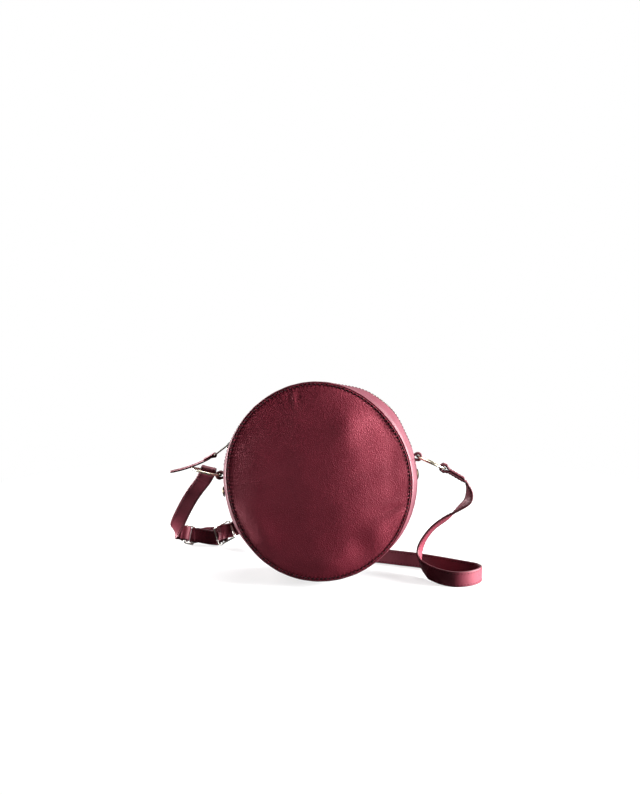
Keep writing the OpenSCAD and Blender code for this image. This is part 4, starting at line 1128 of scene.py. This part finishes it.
class ROUNDBAG_OT_tabs_and_rings(bpy.types.Operator):
    """Builds the side tabs, the O-rings and the rivets."""
    bl_idname = "round_bag.tabs_and_rings"
    bl_label = "Tabs, rings and rivets"

    def execute(self, context):
        tail_in = LEATHER + FIT * 2 + LINING + BULGE * (TAB_W / (2 * HALF)) ** 2
        for name, angle, side in (("tab_left", LEFT_TAB, -1), ("tab_right", RIGHT_TAB, 1)):
            eye, tail_r = polar(EYE_R, angle), BAG_R - tail_in - TAB_T / 2
            path = fold_path(TAB_EYE * 0.72, TAB_T * 1.4, TAB_EYE * 1.3, EYE_R - BAG_R + TAB_PLY)
            loop = eye + turned(path, angle + PI)
            turn = angle - np.linspace(*TAB_TAIL, 8) * side
            outer, inner = on_round(tail_r, turn, 0), on_round(tail_r - TAB_T, turn, 0)
            first, last = (outer[::-1], inner) if side < 0 else (inner[::-1], outer)
            p = smooth_path(in_world(np.vstack([first, loop[::2], last])), 4)
            w = np.tile(world_way(AXIS), (len(p), 1))
            piece, (q, way, across, out, _) = strip(name + "_leather", p, w, TAB_W, TAB_T * TAB_SWELL, 0.6)
            dress(piece, "strap", "bag", [name])
            pick = np.arange(0, len(q), 5)
            pick = pick[np.linalg.norm(q[pick] - in_world(eye), axis=1) < TAB_REACH]
            centre, along, up = two_rows(q[pick] + out[pick] * TAB_T * 0.52, way[pick], across[pick],
                                         out[pick], TAB_W / 2 - TAB_INSET)
            outward = ((centre - in_world(eye)) * up).sum(-1, keepdims=True)
            centre = centre - up * TAB_T * 1.04 * (outward < 0)
            up = up * np.sign(outward)
            seam = stitches(name + "_stitches", centre, along, up, TAB_STITCH, TAB_STITCH_R)
            dress(seam, "strap_thread", "bag")
        a = turn_angles(128)[:, None]
        for name, place, turn in (
                ("ring_left", LEFT_RING, RING_LEFT), ("ring_right", RIGHT_RING, RING_RIGHT)):
            way = polar(1, turn)
            up = world_way(np.cross(way, AXIS))
            p = in_world(place + RING_MID * (np.cos(a) * way + np.sin(a) * AXIS))
            piece = tube(name + "_wire", p, RING_WIRE / 2, closed=True, n=24, up=up)
            dress(piece, "ring", name + "_body", [name])
        caps, a = [], turn_angles(48)[None, :, None]
        for angle in (RIGHT_TAB - RIVET_DROP / BAG_R, LEFT_TAB + RIVET_DROP / BAG_R):
            out = polar(1, angle)
            rings = BAG_R * out + RIVET_PROFILE[:, None, 1:] * out + RIVET_PROFILE[:, None, :1] * (
                np.cos(a) * AXIS + np.sin(a) * np.cross(out, AXIS))
            caps.append(grid("rivet", in_world(rings), close_v=True, flip=True))
        dress(join("rivet_caps_metal", caps), "rivet", "bag", ["rivet_caps"])
        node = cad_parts["rivet_backs"]
        node.data.materials.clear()
        node.data.materials.append(looks()["rivet"])
        return {"FINISHED"}


# The stitches of the strap: inset from its edge, lift, length as a share of the pitch, and radius
STRAP_INSET, STRAP_LIFT, STRAP_STITCH_SHARE, STRAP_STITCH_R = 2.3, 0.02, 0.66, 0.4
# A fold on a ring: its eye and thickness as shares of the strap's, and where its plies meet
EYE_SHARE, FOLD_SHARE, MEET_SHARE = 0.78, 1.15, 1.3


def strap_rows(name, run, carry, faces=(1, -1)):
    """Two rows of stitches along each face of a strap."""
    pitch = bpy.context.scene.round_bag_sewing.strap_pitch / MM
    where = np.arange(pitch / 2, run[-1][-1] - pitch / 4, pitch)
    pick = lambda v: np.stack([np.interp(where, run[-1], v[:, k]) for k in range(3)], -1)
    p, way, across, out = (pick(v) for v in run[:4])
    way, across, out = unit(way), unit(across), unit(out)
    lift_off, inset = STRAP_T / 2 + STRAP_LIFT, STRAP_W / 2 - STRAP_INSET
    rows = [two_rows(p + out * face * lift_off, way, across, out * face, inset) for face in faces]
    seam = stitches(name, *(np.vstack(x) for x in zip(*rows)), pitch * STRAP_STITCH_SHARE, STRAP_STITCH_R)
    dress(seam, "strap_thread", None)
    carry(seam)


def strap_part(name, node, p, w, step, carry, faces=(1, -1)):
    """A stretch of strap for a node, with stitches on the named faces. Carry is called on each of them: it
    gives them a body or bakes their place into their mesh.
    """
    piece, run = strip(name + "_leather", p, w, STRAP_W, STRAP_T, step)
    dress(piece, "strap", None, [node])
    carry(piece)
    if faces:
        strap_rows(name + "_stitches", run, carry, faces)


def ring_fold(end):
    """The fold of a strap on its ring, as a path."""
    return fold_path(STRAP_EYE * EYE_SHARE, STRAP_T * FOLD_SHARE, STRAP_EYE * MEET_SHARE, end)


LAP_WAY, LAP_DOWN = polar(1, TAIL_RIGHT), polar(1, TAIL_RIGHT - PI / 2)
SHORT_WAY = np.array([0, math.cos(TAIL_TILT), 0]) + polar(math.sin(TAIL_TILT), RING_LEFT + PI / 2)
SHORT_ACROSS = polar(1, RING_LEFT)
SHORT_IN = np.cross(SHORT_WAY, SHORT_ACROSS)
SHORT_LAP = STRAP_LAP * 0.5
SHORT_LEAN = 0.32


class ROUNDBAG_OT_long_strap(bpy.types.Operator):
    """Builds the long strap: its sewn end on the right ring, the twisted drop and the run over the floor."""
    bl_idname = "round_bag.long_strap"
    bl_label = "Long strap"

    def execute(self, context):
        end = STRAP_EYE * 2 + STRAP_LAP
        p = smooth_path(in_world(RIGHT_STRAP_EYE + turned(ring_fold(end)[::-1], TAIL_RIGHT)), 3)
        w = np.tile(world_way(-AXIS), (len(p), 1))
        ride = lambda s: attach(s, "ring_right_body")
        strap_part("strap_ring_fold", "strap_long_ring_end", p, w, 0.7, ride, (-1, 1))

        start = in_world(RIGHT_STRAP_EYE + LAP_WAY * end + LAP_DOWN * STRAP_T / 2)
        drop = np.vstack([start, start + world_way(LAP_WAY) * STRAP_T * 2, share_points(DROP)])
        width = np.vstack([np.tile(world_way([0, -1, 0]), (2, 1)), DROP_WIDTH])
        p, w = smooth_path(drop, 10), smooth_path(width, 10)
        bend = lambda s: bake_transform(s)
        strap_part("strap_drop", "strap_long_drop", p, w, 1.2, bend)

        floor = floor_points(FLOOR)
        floor[-5:, 2] += (0.5, 2.5, 7, 13, 17)
        ends = np.array([RUN_START + GLIDE_REACH, RUN_START - 3])
        lean = math.radians(GLIDE_LEAN)
        across = ADJ_Z * math.cos(lean) + ADJ_Y * math.sin(lean)
        route = np.vstack([share_points(DROP[-1:]), floor, adjuster_point(ends, BEHIND_BAR, lift(ends))])
        width = np.vstack([DROP_WIDTH[-1:], np.tile([0, 0, 1.0], (len(FLOOR), 1)), across, across])
        p, w = smooth_path(route, 8), smooth_path(width, 8)
        near = adjuster_point(RUN_START, BEHIND_BAR) * MM
        slide = lambda s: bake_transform(s)
        strap_part("strap_run", "strap_long_run", p, w, 1.6, slide)
        return {"FINISHED"}


class ROUNDBAG_OT_short_strap(bpy.types.Operator):
    """Builds the short strap: its fold on the left ring, its run and its fold on the rectangular ring."""
    bl_idname = "round_bag.short_strap"
    bl_label = "Short strap"

    def execute(self, context):
        end = STRAP_EYE * 2 + SHORT_LAP
        path = ring_fold(end)
        q = LEFT_STRAP_EYE + path[:, :1] * SHORT_WAY + path[:, 1:] * SHORT_IN
        out = path[:, :1]
        q = q + SHORT_ACROSS * (SHORT_LEAN * np.maximum(out, 0) ** 2 / (np.abs(out) + STRAP_EYE))
        p = smooth_path(in_world(q), 3)
        w = np.tile(world_way(SHORT_ACROSS), (len(p), 1))
        ride = lambda s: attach(s, "ring_left_body")
        strap_part("short_ring_fold", "strap_short_ring_end", p, w, 0.7, ride)

        drift = SHORT_LEAN * end ** 2 / (end + STRAP_EYE)
        start = in_world(LEFT_STRAP_EYE + SHORT_WAY * end + SHORT_ACROSS * drift)
        reach = -BUCKLE_REACH - (BUCKLE_R + FIT) * 2 - STRAP_T
        stop = adjuster_point(reach, 0)
        way = world_way(unit(SHORT_WAY + SHORT_ACROSS * SHORT_LEAN))
        route = np.vstack([
            start, start + way * STRAP_T * 2, share_points(SHORT), stop - ADJ_X * STRAP_T, stop])
        width = np.vstack([np.tile(world_way(SHORT_ACROSS), (2, 1)), SHORT_WIDTH, ADJ_Z, ADJ_Z])
        p, w = smooth_path(route, 10), smooth_path(width, 10)
        bend = lambda s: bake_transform(s)
        strap_part("short_run", "strap_short_run", p, w, 1.0, bend)

        eye = BUCKLE_R + FIT
        path = fold_path(eye * 1.9, STRAP_T, eye * 2.6, eye * 2 + STRAP_T)
        p = smooth_path(adjuster_point(-BUCKLE_REACH - path[:, 0], path[:, 1]), 3)
        w = np.tile(ADJ_Z, (len(p), 1))
        strap_part("short_buckle_fold", "strap_short_buckle_end", p, w, 0.6, lambda s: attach(s, "bag"), ())
        return {"FINISHED"}


# Corner radii of the rectangular ring's and the slider's wire
BUCKLE_CORNER, GLIDE_CORNER = 1.9, 1.8


def wave(x):
    """The front layer over the slider: behind its outer bars, before its middle bar."""
    return (BEHIND_BAR - BEFORE_HOOK) / 2 - (BEHIND_BAR + BEFORE_HOOK) / 2 * np.cos(PI * x / GLIDE_REACH)


def arc(cx, r, start, stop, n):
    a = np.radians(np.linspace(start, stop, n + 1))
    return np.stack([cx + r * np.cos(a), r * np.sin(a)], -1)


def lift(x):
    """How far the strap rises along the adjuster: a bend at x = 34 mm from level to a slope of 0.48."""
    return 0.24 * (x - 34 + np.sqrt((x - 34) ** 2 + 40))


def lay(points, rise, lean):
    """Points of the adjuster's plan with how far each is raised and how far its width leans, in degrees."""
    points = np.asarray(points, float)
    extra = np.stack([np.broadcast_to(rise, len(points)), np.broadcast_to(lean, len(points))], -1)
    return np.hstack([points, extra])


class ROUNDBAG_OT_adjuster(bpy.types.Operator):
    """Builds the adjuster: the strap's layers, the rectangular ring and the three-bar slider."""
    bl_idname = "round_bag.adjuster"
    bl_label = "Adjuster"

    def execute(self, context):
        g, h = GLIDE_AT, GLIDE_REACH
        over = np.arange(-8, 9) / 8
        line = np.vstack([
            lay([[g - h * 1.7, LAP_Y], [g - h, LAP_Y], [g - HOOK_R * 2.5, LAP_Y * 0.86],
                 [g - HOOK_R * 1.6, LAP_Y * 0.45]], (3, 2, 1, 0), (4, 0, -8, -14)),
            lay(arc(g, HOOK_R, 190, 415, 12), 0, GLIDE_LEAN),
            lay([[g - HOOK_R * 0.6, LAP_Y * 0.88], [g - HOOK_R * 2.4, LAP_Y + STRAP_T * 0.7],
                 [g - h, LAP_Y + STRAP_T * 1.05], [g - h * 1.7, LAP_Y + STRAP_T],
                 [g - h * 2.4, FOLD_R * 1.25]],
                (0.5, 3, 5, 5, 2.5), (-14, -4, 6, 10, 6)),
            lay(arc(BUCKLE_REACH, FOLD_R * 1.15, 90, 270, 10), 0, 0),
            lay([[BUCKLE_REACH + FOLD_R * 2, -FOLD_R * 0.8], [g - h * 1.7, BEHIND_BAR * 0.5]], (0, -1),
                (-8, -22)),
            lay(np.stack([g + h * over, wave(h * over)], -1), -1 + over * 0.5, GLIDE_LEAN - 6),
            lay([[RUN_START, BEHIND_BAR]], 0, GLIDE_LEAN)])
        p = adjuster_point(line[:, 0], line[:, 1], line[:, 2] + lift(line[:, 0]))
        lean = np.radians(line[:, 3:])
        w = smooth_path(np.cos(lean) * ADJ_Z + np.sin(lean) * ADJ_Y, 4)
        p = smooth_path(p, 4)
        piece, run = strip("adjuster_layers_leather", p, w, STRAP_W, STRAP_T, 0.8)
        left, right = adjuster_point(BUCKLE_REACH + 5, 0) * MM, adjuster_point(g - h - 2, 0) * MM
        bend = lambda s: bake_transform(s)
        dress(piece, "strap", None, ["strap_adjuster_loop"])
        bend(piece)
        strap_rows("adjuster_stitches", run, bend)

        def at_slider(q):
            """Plan points of the slider's wire, turned with the strap's slope and lean there."""
            slope, lean = math.atan(float(lift(g + 1) - lift(g - 1)) / 2), math.radians(GLIDE_LEAN)
            x, z = q[:, 0] - g, q[:, 1] * math.cos(lean)
            return adjuster_point(g + x * math.cos(slope) - z * math.sin(slope), q[:, 1] * math.sin(lean),
                                  x * math.sin(slope) + z * math.cos(slope) + lift(g))

        loop = wire_loop(-BUCKLE_REACH, BUCKLE_REACH, BUCKLE_SIDE, BUCKLE_CORNER, 8, 1.2)
        p = adjuster_point(loop[:, 0], 0.0, loop[:, 1])
        buckle = tube("strap_buckle_wire", p, BUCKLE_R, closed=True, n=18, up=ADJ_Y)
        dress(buckle, "nickel", "bag", ["strap_buckle"])
        loop = wire_loop(g - h, g + h, GLIDE_SIDE, GLIDE_CORNER, 8, 1.2)
        outer = tube("slider_frame", at_slider(loop), GLIDE_R, closed=True, n=18, up=ADJ_Y)
        z = np.linspace(-GLIDE_SIDE, GLIDE_SIDE, 16)
        middle = tube("slider_bar", at_slider(np.stack([0 * z + g, z], -1)), GLIDE_R, n=18, up=ADJ_Y)
        dress(join("strap_slider_metal", [outer, middle]), "nickel", "strap_slider_body",
              ["strap_slider"])
        return {"FINISHED"}


CAMERA_AT = Vector((0.0662, -1.2663, 0.3995))
CAMERA_PITCH, CAMERA_YAW = math.radians(9.73), math.radians(3.0)
# The floor: half its width and its depth under the bag in millimetres. Then, in metres, the point round which
# it fades into white, and how far from there the fade starts and how wide it is
FLOOR_HALF, FLOOR_DEPTH = 6000, 0.05
FADE_Y, FADE_FROM, FADE_WIDTH = 0.02, 0.22, 0.35
# Where the lamps point, and each lamp's name, place, size, the setting with its power, and its share of that
LAMP_TARGET = Vector((0.0, -0.02, 0.1))
LAMPS = (("key_lamp", (1.35, -0.03, 0.36), (0.7, 0.6), "key", 1.0),
         ("sheen_lamp", (1.15, -0.85, 0.75), (0.45, 0.45), "sheen", 1.0),
         ("left_lamp", (-1.2, 0.05, 0.07), (0.4, 0.14), "rim", 2.2),
         ("back_lamp", (-1.1, 0.95, 0.7), (0.8, 0.8), "rim", 1.5),
         ("top_lamp", (0.1, 0.55, 1.4), (0.9, 0.7), "rim", 1.2))


class ROUNDBAG_OT_stage(bpy.types.Operator):
    """Sets the floor, the lamps and the camera."""
    bl_idname = "round_bag.stage"
    bl_label = "Floor, lamps and camera"

    def execute(self, context):
        scene = context.scene
        settings = scene.round_bag_stage
        look = Look("pale_floor")
        seen = look.node("ShaderNodeLightPath", output="Is Camera Ray")
        through = look.node("ShaderNodeLightPath", output="Is Transmission Ray")
        x, y, _ = look.split(look.place())
        away = (x * x + (y - FADE_Y) * (y - FADE_Y)).root()
        blank = ((away - FADE_FROM) / FADE_WIDTH).clamp() * 0.32 + 0.68
        shade = look.mix(seen, (0.06, 0.06, 0.06, 1), (0.9, 0.9, 0.9, 1))
        diffuse = look.node("ShaderNodeBsdfDiffuse", {}, {"Color": shade})
        white = look.node("ShaderNodeEmission", {}, {"Color": (1, 1, 1, 1), "Strength": 1.0})
        factor = (seen + through).clamp() * blank
        mixed = look.node("ShaderNodeMixShader", {}, {0: factor, 1: diffuse, 2: white})
        look.tree.links.new(mixed.socket, look.out.inputs["Surface"])
        x, y = np.meshgrid(*[np.linspace(-FLOOR_HALF, FLOOR_HALF, 3)] * 2, indexing="ij")
        floor = grid("floor", np.stack([x, y, 0 * x - FLOOR_DEPTH], -1))
        floor.data.materials.append(look.material)
        floor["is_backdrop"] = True

        world = bpy.data.worlds.new("studio")
        scene.world = world
        world.use_nodes = True
        tree = world.node_tree
        tree.nodes.clear()
        path = tree.nodes.new("ShaderNodeLightPath")
        soft = tree.nodes.new("ShaderNodeBackground")
        soft.inputs["Color"].default_value = (0.93, 0.95, 1.0, 1)
        soft.inputs["Strength"].default_value = settings.fill
        plain = tree.nodes.new("ShaderNodeBackground")
        plain.inputs["Strength"].default_value = 1.0
        plain.inputs["Color"].default_value = (1, 1, 1, 1)
        mix = tree.nodes.new("ShaderNodeMixShader")
        out = tree.nodes.new("ShaderNodeOutputWorld")
        tree.links.new(path.outputs["Is Camera Ray"], mix.inputs[0])
        tree.links.new(soft.outputs[0], mix.inputs[1])
        tree.links.new(plain.outputs[0], mix.inputs[2])
        tree.links.new(mix.outputs[0], out.inputs["Surface"])

        for name, place, size, setting, share in LAMPS:
            data = bpy.data.lights.new(name, "AREA")
            data.shape, data.size, data.size_y = "RECTANGLE", size[0], size[1]
            data.energy = getattr(settings, setting) * share
            lamp = bpy.data.objects.new(name, data)
            lamp.location = place
            lamp.rotation_euler = (LAMP_TARGET - Vector(place)).to_track_quat("-Z", "Y").to_euler()
            scene.collection.objects.link(lamp)
            lamp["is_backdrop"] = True

        data = bpy.data.cameras.new("camera")
        data.lens, data.sensor_width, data.sensor_fit = settings.lens, 36.0, "AUTO"
        data.clip_end = 50
        camera = bpy.data.objects.new("camera", data)
        level = math.cos(CAMERA_PITCH)
        way = Vector((-math.sin(CAMERA_YAW) * level, math.cos(CAMERA_YAW) * level, -math.sin(CAMERA_PITCH)))
        right = Vector((math.cos(CAMERA_YAW), math.sin(CAMERA_YAW), 0))
        up = right.cross(way)
        turn = Matrix((right, up, -way)).transposed()
        camera.matrix_world = Matrix.Translation(CAMERA_AT) @ turn.to_4x4()
        scene.collection.objects.link(camera)
        scene.camera = camera
        scene.view_settings.view_transform = "Standard"
        return {"FINISHED"}


STEPS = ("stage", "panels", "side_wall", "seams", "zip", "zip_slider", "tabs_and_rings", "long_strap",
         "short_strap", "adjuster")
SETTINGS = (("round_bag_leather", RoundBagLeather), ("round_bag_metal", RoundBagMetal),
            ("round_bag_sewing", RoundBagSewing), ("round_bag_stage", RoundBagStage))


class VIEW3D_PT_round_bag(bpy.types.Panel):
    """Lists the bag's settings and the steps that build it."""
    bl_label = "Round bag"
    bl_idname = "VIEW3D_PT_round_bag"
    bl_space_type = "VIEW_3D"
    bl_region_type = "UI"
    bl_category = "Round bag"

    def draw(self, context):
        for name, group in SETTINGS:
            column = self.layout.column(align=True)
            for key in group.__annotations__:
                column.prop(getattr(context.scene, name), key)
        for step in STEPS:
            self.layout.operator("round_bag." + step)


CLASSES = (RoundBagLeather, RoundBagMetal, RoundBagSewing, RoundBagStage, ROUNDBAG_OT_stage,
           ROUNDBAG_OT_panels, ROUNDBAG_OT_side_wall, ROUNDBAG_OT_seams, ROUNDBAG_OT_zip,
           ROUNDBAG_OT_zip_slider, ROUNDBAG_OT_tabs_and_rings, ROUNDBAG_OT_long_strap,
           ROUNDBAG_OT_short_strap, ROUNDBAG_OT_adjuster, VIEW3D_PT_round_bag)


def register():
    for c in CLASSES:
        bpy.utils.register_class(c)
    for name, group in SETTINGS:
        setattr(bpy.types.Scene, name, PointerProperty(type=group))


def unregister():
    for name, _ in SETTINGS:
        delattr(bpy.types.Scene, name)
    for c in reversed(CLASSES):
        bpy.utils.unregister_class(c)


def main():
    """Registers the add-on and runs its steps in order."""
    register()
    for step in STEPS:
        getattr(bpy.ops.round_bag, step)()
    plain = lambda b: [[float(x) for x in corner] for corner in b]
    {"cad": plain(CAD_BOUNDS), "visual": plain(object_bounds())}


if __name__ == "__main__":
    main()
